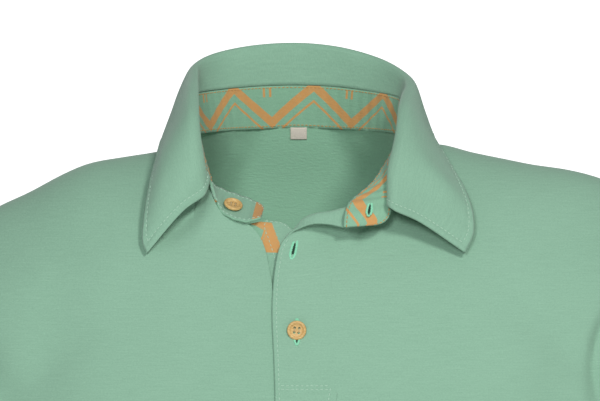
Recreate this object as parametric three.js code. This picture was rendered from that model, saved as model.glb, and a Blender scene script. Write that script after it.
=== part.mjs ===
// Short-sleeved polo shirt, filled out and hollow, with its collar open.
// Millimetres. +Z up, the front faces -Y, +X is to the right in a front view.
// The origin is on the centre plane, level with the top of the shoulders.
import * as THREE from 'three';

// Cloth
const BODY_WALL = 1.4;
const COLLAR_WALL = 1.6;
const PLACKET_WALL = 1.4;
const SEAM_GAP = 0.5;

// Body
const HEM_Z = -740;
const ARMPIT_Z = -255;
const CHEST_HALF_WIDTH = 232;
const TIP_X = 228;
const ACROSS_FRONT_HALF = 196;
const ARMHOLE_WAIST_Z = -135;
const RING_POWER = 2.3;
const SHOULDER_ROUND = 70;
const SHOULDER_LINE_Y = 5;
const NECK_RISE = 90;
const NECK_RISE_REACH = 40;

// Height of the shoulder line over its distance from the centre plane
const SHOULDER = [
  { x: 60, left: 10, right: 9 },
  { x: 78, left: 2.5, right: 2 },
  { x: 86, left: -0.6, right: 1 },
  { x: 94, left: -1.6, right: 3.4 },
  { x: 115, left: -4.6, right: -1.5 },
  { x: 137, left: -8.6, right: -6 },
  { x: 154, left: -15.5, right: -9.4 },
  { x: 177, left: -27.7, right: -12.8 },
  { x: 195, left: -36, right: -17.2 },
  { x: 228, left: -53, right: -29 },
];

// Depth of the body in front of and behind its middle, by height
const DEPTH = [
  { z: -740, front: 104, back: 104 },
  { z: -420, front: 108, back: 102 },
  { z: -255, front: 113, back: 106 },
  { z: -150, front: 106, back: 105 },
  { z: -90, front: 90, back: 98 },
  { z: -55, front: 75, back: 90 },
  { z: -20, front: 66, back: 80 },
  { z: 10, front: 60, back: 66 },
  { z: 30, front: 56, back: 56 },
];

// Neckline of the front from the shoulder seam down to the placket, and of the back
const NECK_FRONT_LEFT = [
  { x: 67, z: 12 }, { x: 64.5, z: -6 }, { x: 61, z: -19 }, { x: 56, z: -31 },
  { x: 49, z: -40.5 }, { x: 41, z: -45 }, { x: 33, z: -47.5 }, { x: 27, z: -52.5 },
  { x: 23, z: -59 }, { x: 20.5, z: -66 }, { x: 18.5, z: -76 }, { x: 16.5, z: -87 },
  { x: 15, z: -104 }, { x: 13, z: -140 },
];
const NECK_FRONT_RIGHT = [
  { x: 67, z: 12 }, { x: 65, z: -8 }, { x: 62.5, z: -22 }, { x: 58, z: -35 },
  { x: 52, z: -45 }, { x: 46, z: -51 }, { x: 38, z: -56 }, { x: 20, z: -60 },
];
const NECK_BACK = [
  { x: 67, z: 12 }, { x: 60, z: 13.3 }, { x: 40, z: 15.3 }, { x: 0, z: 17.3 },
];

// Placket opening in the front
const SLIT_FOOT_Z = -150;

// Sleeves
const SLEEVE_LENGTH = 225;
const SLEEVE_ANGLE = 38;
const CUFF_HALF_HEIGHT = 64;
const CUFF_HALF_DEPTH = 52;

// Soft folds: each runs from a top point to a foot point on the front or the back
const FRONT_FOLDS = [
  { x0: -150, z0: -60, x1: -205, z1: -420, width: 26, deep: 4.5 },
  { x0: 176, z0: -90, x1: 120, z1: -520, width: 24, deep: 4 },
  { x0: 60, z0: -300, x1: 30, z1: -740, width: 34, deep: 5 },
  { x0: -70, z0: -260, x1: -95, z1: -740, width: 30, deep: 4.5 },
  { x0: 190, z0: -330, x1: 170, z1: -740, width: 28, deep: 4 },
];
const BACK_FOLDS = [
  { x0: -120, z0: -90, x1: -90, z1: -620, width: 30, deep: 5 },
  { x0: 130, z0: -110, x1: 85, z1: -700, width: 34, deep: 4.5 },
  { x0: 15, z0: -200, x1: -10, z1: -740, width: 28, deep: 4 },
  { x0: -185, z0: -200, x1: -175, z1: -740, width: 24, deep: 3.5 },
];

const mix = (a, b, t) => a + (b - a) * t;
const clamp = (t, low, high) => Math.min(high, Math.max(low, t));
const smooth = (t) => t * t * (3 - 2 * t);

// A smooth curve through the rows of a table, read at one column
function readTable(rows, key, at, column) {
  const up = rows[rows.length - 1][key] > rows[0][key];
  const sorted = up ? rows : [...rows].reverse();
  const last = sorted.length - 1;
  let i = 0;
  while (i < last - 1 && at > sorted[i + 1][key]) i += 1;
  const row = (k) => sorted[clamp(k, 0, last)];
  const slope = (k) => {
    const a = row(k - 1);
    const b = row(k + 1);
    return (b[column] - a[column]) / (b[key] - a[key]);
  };
  const gap = row(i + 1)[key] - row(i)[key];
  const t = clamp((at - row(i)[key]) / gap, 0, 1);
  const h = t * t * (3 - 2 * t);
  const start = row(i)[column] * (1 - h) + row(i + 1)[column] * h;
  return start + slope(i) * gap * t * (1 - t) * (1 - t) - slope(i + 1) * gap * t * t * (1 - t);
}

// A smooth curve through points given as rows of x, y and z
function pathThrough(rows) {
  const points = rows.map((row) => new THREE.Vector3(row.x, row.y, row.z));
  return new THREE.CatmullRomCurve3(points, false, 'centripetal');
}

function shoulderZ(x) {
  const side = x < 0 ? 'left' : 'right';
  const reach = Math.abs(x);
  const line = readTable(SHOULDER, 'x', clamp(reach, 60, TIP_X), side);
  return line + NECK_RISE * Math.exp(-((reach / NECK_RISE_REACH) ** 2));
}

// Half width of the body panels at a height: the side seam, then the armhole
function edgeX(z, side) {
  const tipZ = side < 0 ? SHOULDER[SHOULDER.length - 1].left : SHOULDER[SHOULDER.length - 1].right;
  if (z <= ARMPIT_Z) return CHEST_HALF_WIDTH;
  if (z >= tipZ) return TIP_X;
  if (z >= ARMHOLE_WAIST_Z) {
    const t = (z - ARMHOLE_WAIST_Z) / (tipZ - ARMHOLE_WAIST_Z);
    return mix(ACROSS_FRONT_HALF, TIP_X, smooth(t));
  }
  const t = (z - ARMHOLE_WAIST_Z) / (ARMPIT_Z - ARMHOLE_WAIST_Z);
  return mix(ACROSS_FRONT_HALF, CHEST_HALF_WIDTH, 1 - Math.sqrt(1 - t ** 2.4));
}

function foldDepth(folds, x, z) {
  let sum = 0;
  for (const fold of folds) {
    const along = (fold.z0 - z) / (fold.z0 - fold.z1);
    const t = clamp(along, 0, 1);
    const off = (x - mix(fold.x0, fold.x1, t)) / (fold.width * mix(0.7, 1.3, t));
    const ends = Math.sin(Math.PI * clamp(along * 0.9 + 0.05, 0, 1)) ** 0.8;
    sum += fold.deep * ends * Math.exp(-off * off) * (along > -0.05 && along < 1.05 ? 1 : 0);
  }
  return sum;
}

// Depth of the cloth at a place in the front view, on the front or the back of the body
function bodyY(x, z, face) {
  const depth = readTable(DEPTH, 'z', clamp(z, HEM_Z, 30), face);
  const widen = smooth(clamp((z - ARMPIT_Z) / 150, 0, 1));
  const half = mix(CHEST_HALF_WIDTH, 252, widen);
  const across = (1 - Math.min(1, Math.abs(x) / half) ** RING_POWER) ** (1 / RING_POWER);
  const drop = clamp((shoulderZ(x) - z) / SHOULDER_ROUND, 0, 1);
  const round = Math.sqrt(1 - (1 - drop) ** 2);
  const sign = face === 'front' ? -1 : 1;
  const folds = face === 'front' ? FRONT_FOLDS : BACK_FOLDS;
  const full = depth * across * round;
  const calm = clamp(full / 60, 0, 1);
  return SHOULDER_LINE_Y + sign * (full - foldDepth(folds, x, z) * calm);
}

// A closed wall of even thickness on a grid of points; cells can be left out
function wallGeometry(columns, rows, pointAt, thickness, keep, wrap = false) {
  const mid = [];
  for (let i = 0; i < columns; i += 1) {
    mid.push([]);
    for (let j = 0; j < rows; j += 1) mid[i].push(pointAt(i, j));
  }
  const wrapped = (i) => (wrap ? (i + columns) % columns : clamp(i, 0, columns - 1));
  const at = (i, j) => mid[wrapped(i)][clamp(j, 0, rows - 1)];
  const positions = [];
  const layer = (i, j, side) => {
    const along = at(i + 1, j).clone().sub(at(i - 1, j));
    const up = at(i, j + 1).clone().sub(at(i, j - 1));
    const normal = along.cross(up).normalize();
    const point = at(i, j).clone().addScaledVector(normal, (side * thickness) / 2);
    positions.push(point.x, point.y, point.z);
  };
  for (const side of [1, -1]) {
    for (let i = 0; i < columns; i += 1) {
      for (let j = 0; j < rows; j += 1) layer(i, j, side);
    }
  }
  const outer = (i, j) => wrapped(i) * rows + j;
  const inner = (i, j) => columns * rows + outer(i, j);
  const cellsAcross = wrap ? columns : columns - 1;
  const has = (i, j) => {
    if (j < 0 || j >= rows - 1) return false;
    if (!wrap && (i < 0 || i >= columns - 1)) return false;
    return !keep || keep(wrapped(i), j);
  };
  const index = [];
  const quad = (a, b, c, d) => index.push(a, b, c, a, c, d);
  for (let i = 0; i < cellsAcross; i += 1) {
    for (let j = 0; j < rows - 1; j += 1) {
      if (!has(i, j)) continue;
      quad(outer(i, j), outer(i + 1, j), outer(i + 1, j + 1), outer(i, j + 1));
      quad(inner(i, j), inner(i, j + 1), inner(i + 1, j + 1), inner(i + 1, j));
      if (!has(i, j - 1)) quad(outer(i, j), inner(i, j), inner(i + 1, j), outer(i + 1, j));
      if (!has(i, j + 1)) {
        quad(outer(i + 1, j + 1), inner(i + 1, j + 1), inner(i, j + 1), outer(i, j + 1));
      }
      if (!has(i - 1, j)) quad(outer(i, j + 1), inner(i, j + 1), inner(i, j), outer(i, j));
      if (!has(i + 1, j)) {
        quad(outer(i + 1, j), inner(i + 1, j), inner(i + 1, j + 1), outer(i + 1, j + 1));
      }
    }
  }
  const geometry = new THREE.BufferGeometry();
  geometry.setAttribute('position', new THREE.Float32BufferAttribute(positions, 3));
  geometry.setIndex(index);
  const compact = dropLoosePoints(geometry);
  compact.computeVertexNormals();
  return compact;
}

// Leaves out the points that no triangle uses
function dropLoosePoints(geometry) {
  const source = geometry.getAttribute('position');
  const index = geometry.getIndex().array;
  const renamed = new Map();
  const positions = [];
  const used = [];
  for (const old of index) {
    if (!renamed.has(old)) {
      renamed.set(old, positions.length / 3);
      positions.push(source.getX(old), source.getY(old), source.getZ(old));
    }
    used.push(renamed.get(old));
  }
  const result = new THREE.BufferGeometry();
  result.setAttribute('position', new THREE.Float32BufferAttribute(positions, 3));
  result.setIndex(used);
  return result;
}

// Columns of the body panels by their place at the top edge
const SHOULDER_COLUMNS = [67, 73, 80, 87, 95, 108, 125, 145, 165, 183, 200, 214, 223, 228];
const FRONT_LEFT_COLUMNS = [66, 63, 58, 51, 44, 38, 33, 27, 23, 20.5, 18.5, 16.5, 15, 14];
const FRONT_RIGHT_COLUMNS = [20, 29, 38, 46, 52, 57, 61, 64, 66];
const BACK_COLUMNS = [0, 15, 30, 43, 54, 61, 65];
const LOW_ROWS = [-740, -650, -560, -470, -390, -325, -280, -255.3, -252.3, -244.5, -232, -214,
  -186, -150];
const TOP_ROWS = 10;

// Place on a body column at a row, in the front view
function panelPlace(topX, topZ, row) {
  const side = Math.sign(topX);
  let z = LOW_ROWS[Math.min(row, LOW_ROWS.length - 1)];
  if (row >= LOW_ROWS.length) {
    const t = (row - LOW_ROWS.length + 1) / TOP_ROWS;
    z = mix(SLIT_FOOT_Z, topZ, Math.sin((t * Math.PI) / 2));
  }
  const share = Math.abs(topX / TIP_X) ** 4;
  return { x: topX + side * (edgeX(z, side) - TIP_X) * share, z };
}

function panelPoint(topX, topZ, row, face) {
  const { x, z } = panelPlace(topX, topZ, row);
  const sign = face === 'front' ? -1 : 1;
  return new THREE.Vector3(x, bodyY(x, z, face) + (sign * SEAM_GAP) / 2, z);
}

function frontTopZ(x) {
  const reach = Math.abs(x);
  if (reach >= 67) return shoulderZ(x);
  const rows = x < 0 ? NECK_FRONT_LEFT : NECK_FRONT_RIGHT;
  return readTable(rows, 'x', reach, 'z');
}

function backTopZ(x) {
  const reach = Math.abs(x);
  return reach >= 67 ? shoulderZ(x) : readTable(NECK_BACK, 'x', reach, 'z');
}

function frontBody() {
  const leftShoulder = [...SHOULDER_COLUMNS].reverse().map((x) => -x);
  const left = [...leftShoulder, ...FRONT_LEFT_COLUMNS.map((x) => -x)];
  const right = [...FRONT_RIGHT_COLUMNS, ...SHOULDER_COLUMNS];
  const tops = [...left, 3, ...right];
  const rows = LOW_ROWS.length + TOP_ROWS;
  const slitColumn = left.length - 1;
  const pointAt = (i, j) => panelPoint(tops[i], frontTopZ(tops[i]), j, 'front');
  const keep = (i, j) => {
    const inSlit = i === slitColumn || i === slitColumn + 1;
    return !(inSlit && j >= LOW_ROWS.length - 1);
  };
  return wallGeometry(tops.length, rows, pointAt, BODY_WALL, keep);
}

function backBody() {
  const half = [...BACK_COLUMNS, ...SHOULDER_COLUMNS];
  const tops = [...half.slice(1).map((x) => -x).reverse(), ...half].reverse();
  const rows = LOW_ROWS.length + TOP_ROWS;
  const pointAt = (i, j) => panelPoint(tops[i], backTopZ(tops[i]), j, 'back');
  return wallGeometry(tops.length, rows, pointAt, BODY_WALL);
}

// Sleeve from the armhole ring to the open cuff
const SLEEVE_AROUND = 28;
const SLEEVE_ALONG = 9;
const ARMHOLE_GAP = 2;
const CAP_BULGE = 9;

function armholePoint(side, turn) {
  const tip = SHOULDER[SHOULDER.length - 1];
  const tipZ = side < 0 ? tip.left : tip.right;
  const angle = turn * Math.PI * 2;
  const z = mix(tipZ, ARMPIT_Z, (1 - Math.cos(angle)) / 2);
  const face = turn <= 0.5 ? 'front' : 'back';
  const x = side * edgeX(z, side);
  const away = Math.sin(angle) === 0 ? 0 : -Math.sign(Math.sin(angle));
  return new THREE.Vector3(x, bodyY(x, z, face) + (away * SEAM_GAP) / 2, z);
}

function sleeve(side) {
  const tip = armholePoint(side, 0);
  const lean = THREE.MathUtils.degToRad(SLEEVE_ANGLE);
  const along = new THREE.Vector3(side * Math.sin(lean), 0, -Math.cos(lean));
  const across = new THREE.Vector3(side * Math.cos(lean), 0, Math.sin(lean));
  const cuffTop = tip.clone().addScaledVector(along, SLEEVE_LENGTH);
  const centre = cuffTop.clone().addScaledVector(across, -CUFF_HALF_HEIGHT);
  const pointAt = (i, j) => {
    const turn = i / SLEEVE_AROUND;
    const angle = turn * Math.PI * 2;
    const low = (1 - Math.cos(angle)) / 2;
    const start = armholePoint(side, turn).addScaledVector(along, ARMHOLE_GAP * 0.15 * (1 - low));
    start.x += side * ARMHOLE_GAP * (0.25 + 1.75 * low);
    start.y += (start.y - SHOULDER_LINE_Y) * 0.04 * low;
    const end = centre.clone();
    end.addScaledVector(across, CUFF_HALF_HEIGHT * Math.cos(angle));
    end.y -= CUFF_HALF_DEPTH * Math.sin(angle);
    const t = j / (SLEEVE_ALONG - 1);
    const point = start.clone().lerp(end, t);
    const swell = Math.sin(Math.PI * t ** 0.75) * CAP_BULGE * (0.55 + 0.45 * Math.cos(angle));
    point.addScaledVector(across, swell);
    const fold = Math.sin(angle * 3 + 1.1) * 2.2 * Math.sin(Math.PI * t);
    point.y -= fold * Math.sin(angle);
    return point;
  };
  const flipped = (i, j) => pointAt(side < 0 ? SLEEVE_AROUND - i : i, j);
  return wallGeometry(SLEEVE_AROUND, SLEEVE_ALONG, flipped, BODY_WALL, undefined, true);
}

// Collar stand: lower edge on the neckline and upper edge at the collar seam.
// Rows run from the end with the button, round the back, to the end rolled outward.
const STAND = [
  { nx: -24, ny: -72, nz: -43.5, tx: -21.5, ty: -52, tz: -37 },
  { nx: -33, ny: -71, nz: -45.8, tx: -31, ty: -49, tz: -32 },
  { nx: -41, ny: -69, nz: -44.2, tx: -39.5, ty: -46, tz: -29 },
  { nx: -49, ny: -65.5, nz: -39.8, tx: -49, ty: -46, tz: -24.5 },
  { nx: -56, ny: -60.5, nz: -30.7, tx: -58, ty: -61, tz: -16.5 },
  { nx: -61, ny: -52.2, nz: -19, tx: -62, ty: -64, tz: -2 },
  { nx: -64.5, ny: -39, nz: -6, tx: -65, ty: -53, tz: 14 },
  { nx: -66, ny: -24.5, nz: 4.3, tx: -66.5, ty: -36, tz: 26 },
  { nx: -66.8, ny: -9.4, nz: 10.5, tx: -67.5, ty: -16, tz: 34 },
  { nx: -67, ny: 5, nz: 12.5, tx: -68.5, ty: 2, tz: 37 },
  { nx: -64, ny: 19.1, nz: 12.7, tx: -66.5, ty: 18, tz: 38.5 },
  { nx: -54, ny: 36.9, nz: 14, tx: -57, ty: 37, tz: 40.4 },
  { nx: -40, ny: 54.6, nz: 15.3, tx: -42, ty: 52, tz: 42.5 },
  { nx: -20, ny: 66.8, nz: 16.4, tx: -21, ty: 62, tz: 44.3 },
  { nx: 0, ny: 67.6, nz: 17.3, tx: 0, ty: 63.5, tz: 44.7 },
  { nx: 20, ny: 66.8, nz: 16.4, tx: 21, ty: 62, tz: 44 },
  { nx: 40, ny: 54.6, nz: 15.3, tx: 42, ty: 52, tz: 41.4 },
  { nx: 54, ny: 36.9, nz: 14, tx: 57, ty: 37, tz: 38.5 },
  { nx: 64, ny: 19.1, nz: 12.7, tx: 67, ty: 20, tz: 35.5 },
  { nx: 67, ny: 5, nz: 12, tx: 69, ty: 3, tz: 32.5 },
  { nx: 66.8, ny: -9.4, nz: 9.8, tx: 68, ty: -14, tz: 30 },
  { nx: 66, ny: -27, nz: 1.6, tx: 66.8, ty: -36, tz: 22 },
  { nx: 65, ny: -39.4, nz: -8, tx: 65.5, ty: -52, tz: 10 },
  { nx: 62.5, ny: -52.6, nz: -22, tx: 63, ty: -63, tz: -4 },
  { nx: 57.5, ny: -62.4, nz: -36, tx: 61.5, ty: -70, tz: -15 },
  { nx: 47, ny: -69.5, nz: -45, tx: 61, ty: -74, tz: -23 },
  { nx: 38.5, ny: -75, nz: -43.5, tx: 61, ty: -77, tz: -28 },
  { nx: 33.5, ny: -82, nz: -36.5, tx: 61, ty: -80, tz: -31.5 },
  { nx: 31, ny: -87, nz: -42, tx: 61, ty: -83, tz: -34.5 },
  { nx: 30, ny: -88, nz: -49.5, tx: 59.5, ty: -85, tz: -39.5 },
];

// Collar: inner seam, roll, over the roll, middle of the leaf and its edge.
// Rows run from one front edge round the back to the other front edge.
const COLLAR_SEAM = [
  { x: -56.6, y: -60, z: -17.8 }, { x: -59.8, y: -63.5, z: -11.5 }, { x: -62, y: -63, z: -1 },
  { x: -65, y: -53, z: 14 }, { x: -66.5, y: -36, z: 26 }, { x: -67.5, y: -16, z: 34 },
  { x: -68.5, y: 2, z: 37 }, { x: -64, y: 25, z: 39.2 }, { x: -50, y: 45, z: 41.6 },
  { x: -26, y: 60.2, z: 44 }, { x: 0, y: 63.5, z: 44.7 }, { x: 26, y: 60.2, z: 43.5 },
  { x: 50, y: 45, z: 39.8 }, { x: 66, y: 23, z: 35.8 }, { x: 69, y: 3, z: 32.5 },
  { x: 68, y: -14, z: 30 }, { x: 66.8, y: -36, z: 22 }, { x: 65.5, y: -52, z: 10 },
  { x: 63, y: -63, z: -4 }, { x: 61.5, y: -70.5, z: -16 }, { x: 61.2, y: -79, z: -30 },
];
const COLLAR_ROLL = [
  { x: -58.2, y: -65, z: -15.2 }, { x: -61, y: -68, z: -7 }, { x: -62.8, y: -65.5, z: 4 },
  { x: -64.5, y: -55, z: 19.5 }, { x: -65.6, y: -37, z: 32 }, { x: -66, y: -15, z: 42.5 },
  { x: -66.6, y: 4, z: 50 }, { x: -66, y: 28, z: 58 }, { x: -54, y: 50, z: 65 },
  { x: -28, y: 62, z: 71 }, { x: 0, y: 65.5, z: 72.6 }, { x: 28, y: 62, z: 69.5 },
  { x: 54, y: 50, z: 61.5 }, { x: 70, y: 26, z: 51 }, { x: 72, y: 6, z: 44 },
  { x: 69, y: -13, z: 37 }, { x: 66.2, y: -37, z: 27.5 }, { x: 64.2, y: -54, z: 15 },
  { x: 61.4, y: -66.5, z: 1 }, { x: 58.6, y: -76, z: -12.5 }, { x: 57.8, y: -85.5, z: -27 },
];
const COLLAR_OVER = [
  { x: -60.5, y: -69.5, z: -20.5 }, { x: -65.5, y: -72, z: -8.5 }, { x: -67.2, y: -69, z: 4 },
  { x: -69.2, y: -58.5, z: 19.5 }, { x: -70.2, y: -39.5, z: 32 }, { x: -70.7, y: -17, z: 42 },
  { x: -71.2, y: 4, z: 48.5 }, { x: -70.5, y: 30, z: 56 }, { x: -58, y: 53, z: 63 },
  { x: -30, y: 66.6, z: 69 }, { x: 0, y: 70, z: 71 }, { x: 30, y: 66.6, z: 67.5 },
  { x: 58, y: 53, z: 59.5 }, { x: 74.5, y: 27.5, z: 49 }, { x: 76.5, y: 5, z: 42.5 },
  { x: 73.7, y: -15.5, z: 36.5 }, { x: 71, y: -39.5, z: 27 }, { x: 69, y: -57.5, z: 14.5 },
  { x: 66, y: -71, z: 0.5 }, { x: 62.5, y: -81, z: -14.5 }, { x: 60, y: -91.5, z: -32 },
];
const COLLAR_LEAF = [
  { x: -73, y: -75.5, z: -38.5 }, { x: -81, y: -77, z: -33 }, { x: -85.5, y: -71, z: -18 },
  { x: -86, y: -58, z: -2 }, { x: -84, y: -36, z: 12 }, { x: -83.5, y: -12, z: 20.5 },
  { x: -83, y: 11, z: 26 }, { x: -80.5, y: 34, z: 31 }, { x: -66, y: 61, z: 41 },
  { x: -37, y: 77, z: 50 }, { x: 0, y: 83, z: 52 }, { x: 37, y: 77, z: 48.5 },
  { x: 68, y: 60, z: 39 }, { x: 82, y: 31, z: 29 }, { x: 84, y: 5, z: 22 },
  { x: 85.5, y: -18, z: 14 }, { x: 88, y: -40, z: 4 }, { x: 90, y: -58.5, z: -8 },
  { x: 91, y: -72, z: -19 }, { x: 87, y: -82, z: -32.5 }, { x: 78, y: -91, z: -46 },
];
const COLLAR_EDGE = [
  { x: -97, y: -82, z: -66.5 }, { x: -99.5, y: -80.5, z: -60 }, { x: -98.5, y: -75, z: -43 },
  { x: -95.5, y: -60, z: -22 }, { x: -92.5, y: -33, z: -6.5 }, { x: -91, y: -5, z: 2.6 },
  { x: -90, y: 17, z: 6 }, { x: -85, y: 38, z: 11 }, { x: -71, y: 64, z: 22 },
  { x: -40, y: 84, z: 31 }, { x: 0, y: 91, z: 34 }, { x: 41, y: 84, z: 30 },
  { x: 74, y: 63, z: 20 }, { x: 89, y: 30, z: 10 }, { x: 90, y: -3, z: 5.6 },
  { x: 94.5, y: -26, z: -1.5 }, { x: 101.5, y: -44, z: -14 }, { x: 107.5, y: -60, z: -26 },
  { x: 112, y: -71, z: -40 }, { x: 112.5, y: -78, z: -54 }, { x: 107, y: -83.5, z: -66 },
];

const SEAM_STEP = 1.8;
const STAND_TRIM = 1.3;
const STAND_COLUMNS = 47;
const STAND_ROWS = 5;
const COLLAR_COLUMNS = 41;
const COLLAR_ROWS = 13;

function standPoint(u, v) {
  const lower = standPoint.lower.getPoint(u);
  const upper = standPoint.upper.getPoint(u);
  const rise = upper.clone().sub(lower);
  const height = rise.length();
  return lower.addScaledVector(rise, mix(SEAM_STEP / height, 1 - STAND_TRIM / height, v));
}
standPoint.lower = pathThrough(STAND.map((row) => ({ x: row.nx, y: row.ny, z: row.nz })));
standPoint.upper = pathThrough(STAND.map((row) => ({ x: row.tx, y: row.ty, z: row.tz })));

const COLLAR_LINES = [COLLAR_SEAM, COLLAR_ROLL, COLLAR_OVER, COLLAR_LEAF, COLLAR_EDGE]
  .map((rows) => pathThrough(rows));

function collarPoint(u, v) {
  const [seam, roll, over, leaf, edge] = COLLAR_LINES.map((line) => line.getPoint(u));
  const foot = seam.clone().addScaledVector(roll.clone().sub(seam).normalize(), SEAM_STEP);
  const section = new THREE.CatmullRomCurve3([foot, roll, over, leaf, edge], false, 'centripetal');
  return section.getPoint(v);
}

function gridWall(pointAt, columns, rows, thickness) {
  const at = (i, j) => pointAt(i / (columns - 1), j / (rows - 1));
  return wallGeometry(columns, rows, at, thickness);
}

// Top placket from its foot to the neck seam: leading edge, roll, back of the roll and
// the sewn side. The column out is the distance in front of the body.
const TOP_PLACKET = [
  [{ x: -14, z: -178, out: 1.9 }, { x: -3, z: -178, out: 1.9 },
    { x: 9, z: -178, out: 1.9 }, { x: 21.5, z: -178, out: 2.4 }],
  [{ x: -15, z: -140, out: 1.9 }, { x: -4, z: -140, out: 1.9 },
    { x: 8.5, z: -140, out: 1.9 }, { x: 21.2, z: -140, out: 2.4 }],
  [{ x: -16.4, z: -100, out: 2.2 }, { x: -5, z: -100, out: 2.4 },
    { x: 8, z: -99, out: 2.2 }, { x: 21, z: -98, out: 2.6 }],
  [{ x: -14.4, z: -75, out: 3.4 }, { x: -4, z: -74, out: 3.8 },
    { x: 9, z: -72, out: 3.2 }, { x: 22, z: -70, out: 2.8 }],
  [{ x: -11, z: -61, out: 4.4 }, { x: -2, z: -60, out: 4.6 },
    { x: 10, z: -60, out: 3.4 }, { x: 23, z: -60, out: 2.6 }],
  [{ x: -5.6, z: -54, out: 7 }, { x: 0, z: -51.5, out: 6.4 },
    { x: 12, z: -55, out: 3.8 }, { x: 25, z: -56, out: 2.2 }],
  [{ x: 0.8, z: -50.5, out: 11 }, { x: 3.4, z: -45, out: 9 },
    { x: 13.5, z: -50.5, out: 4.6 }, { x: 27, z: -54, out: 2.4 }],
  [{ x: 9.5, z: -47.6, out: 14.5 }, { x: 11, z: -41.5, out: 11.5 },
    { x: 16.5, z: -47, out: 5.6 }, { x: 29, z: -52, out: 2.6 }],
  [{ x: 19.5, z: -47.8, out: 15.5 }, { x: 20.5, z: -40, out: 12 },
    { x: 23, z: -45.6, out: 5.8 }, { x: 32.5, z: -50.5, out: 3 }],
  [{ x: 28.4, z: -49.6, out: 15.5 }, { x: 31.6, z: -37.4, out: 12 },
    { x: 32.6, z: -43.5, out: 6 }, { x: 37, z: -48, out: 4 }],
];

// Under placket: its sewn side and its free side, behind the body
const UNDER_PLACKET = [
  [{ x: -24, z: -172, out: -2 }, { x: 16, z: -172, out: -2 }],
  [{ x: -24, z: -130, out: -2 }, { x: 15, z: -130, out: -2 }],
  [{ x: -26, z: -95, out: -2 }, { x: 12, z: -95, out: -2.2 }],
  [{ x: -28.5, z: -74, out: -2 }, { x: 8, z: -74, out: -2.6 }],
  [{ x: -33, z: -58, out: -2 }, { x: 2, z: -60, out: -3.4 }],
  [{ x: -36, z: -50.5, out: -2.2 }, { x: -8, z: -48, out: -5 }],
  [{ x: -34, z: -48.3, out: -2.6 }, { x: -20, z: -45.8, out: -4.6 }],
];

// A panel through rows of places in front of the body
function panelThrough(table, columns, rows) {
  const place = (cell) => ({ x: cell.x, y: bodyY(cell.x, cell.z, 'front') - cell.out, z: cell.z });
  const across = table[0].map((unused, k) => pathThrough(table.map((row) => place(row[k]))));
  const pointAt = (u, v) => {
    const section = across.map((line) => line.getPoint(v));
    if (section.length === 2) return section[0].lerp(section[1], u);
    return new THREE.CatmullRomCurve3(section, false, 'centripetal').getPoint(u);
  };
  return gridWall(pointAt, columns, rows, PLACKET_WALL);
}

// Buttons with four holes
const BUTTON_RADIUS = 6.2;
const BUTTON_THICK = 2.2;
const BUTTON_HOLE_RADIUS = 0.8;
const BUTTON_HOLE_OFF = 1.4;
const BUTTON_EDGE = 0.4;

function buttonGeometry(centre, facing) {
  const shape = new THREE.Shape();
  shape.absarc(0, 0, BUTTON_RADIUS - BUTTON_EDGE, 0, Math.PI * 2);
  for (const [sx, sy] of [[1, 1], [1, -1], [-1, 1], [-1, -1]]) {
    const hole = new THREE.Path();
    const x = sx * BUTTON_HOLE_OFF;
    const y = sy * BUTTON_HOLE_OFF;
    hole.absarc(x, y, BUTTON_HOLE_RADIUS, 0, Math.PI * 2, true);
    shape.holes.push(hole);
  }
  const geometry = new THREE.ExtrudeGeometry(shape, {
    depth: BUTTON_THICK - 2 * BUTTON_EDGE,
    curveSegments: 5,
    bevelThickness: BUTTON_EDGE,
    bevelSize: BUTTON_EDGE * 0.6,
    bevelSegments: 1,
  });
  geometry.translate(0, 0, BUTTON_EDGE - BUTTON_THICK / 2);
  const turn = new THREE.Quaternion();
  turn.setFromUnitVectors(new THREE.Vector3(0, 0, 1), facing.clone().normalize());
  geometry.applyQuaternion(turn);
  geometry.translate(centre.x, centre.y, centre.z);
  return geometry;
}

// Faces a button away from the body at a place in the front view
function frontButton(x, z, out) {
  const step = 4;
  const at = (dx, dz) => new THREE.Vector3(
    x + dx, bodyY(x + dx, z + dz, 'front'), z + dz);
  const across = at(step, 0).sub(at(-step, 0));
  const up = at(0, step).sub(at(0, -step));
  const facing = across.cross(up).normalize();
  const centre = at(0, 0).addScaledVector(facing, out);
  return buttonGeometry(centre, facing);
}

const STAND_BUTTON_AT = 0.077;
const STAND_BUTTON_UP = 0.42;
const STAND_BUTTON_OUT = COLLAR_WALL / 2 + BUTTON_THICK / 2 + 1;

function standButton() {
  const centre = standPoint(STAND_BUTTON_AT, STAND_BUTTON_UP);
  const along = standPoint(STAND_BUTTON_AT + 0.02, STAND_BUTTON_UP);
  const up = standPoint(STAND_BUTTON_AT, STAND_BUTTON_UP + 0.1);
  const facing = up.sub(centre).cross(along.sub(centre)).normalize();
  return buttonGeometry(centre.addScaledVector(facing, STAND_BUTTON_OUT), facing);
}

// Size label inside the back of the neck
const LABEL_WIDTH = 11;
const LABEL_TOP = 16.4;
const LABEL_FOOT = 8.6;
const LABEL_THICK = 0.8;

function sizeLabel() {
  const pointAt = (u, v) => {
    const x = 0.4 + LABEL_WIDTH * (0.5 - u);
    const z = mix(LABEL_FOOT, LABEL_TOP, v);
    return new THREE.Vector3(x, bodyY(x, z, 'back') - 1.75, z);
  };
  return gridWall(pointAt, 3, 3, LABEL_THICK);
}

const shirt = new THREE.Group();
shirt.name = 'polo_shirt';

function addPart(name, geometry, color) {
  const material = new THREE.MeshStandardMaterial({ color, roughness: 0.9 });
  const mesh = new THREE.Mesh(geometry, material);
  mesh.name = name;
  shirt.add(mesh);
}

const CLOTH = 0x8cb49b;
const PLACKET_CLOTH = 0x94bea3;
const PRINT = 0xa8a377;
const WOOD = 0xc8a069;
const CREAM = 0xd8cdbe;

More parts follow.
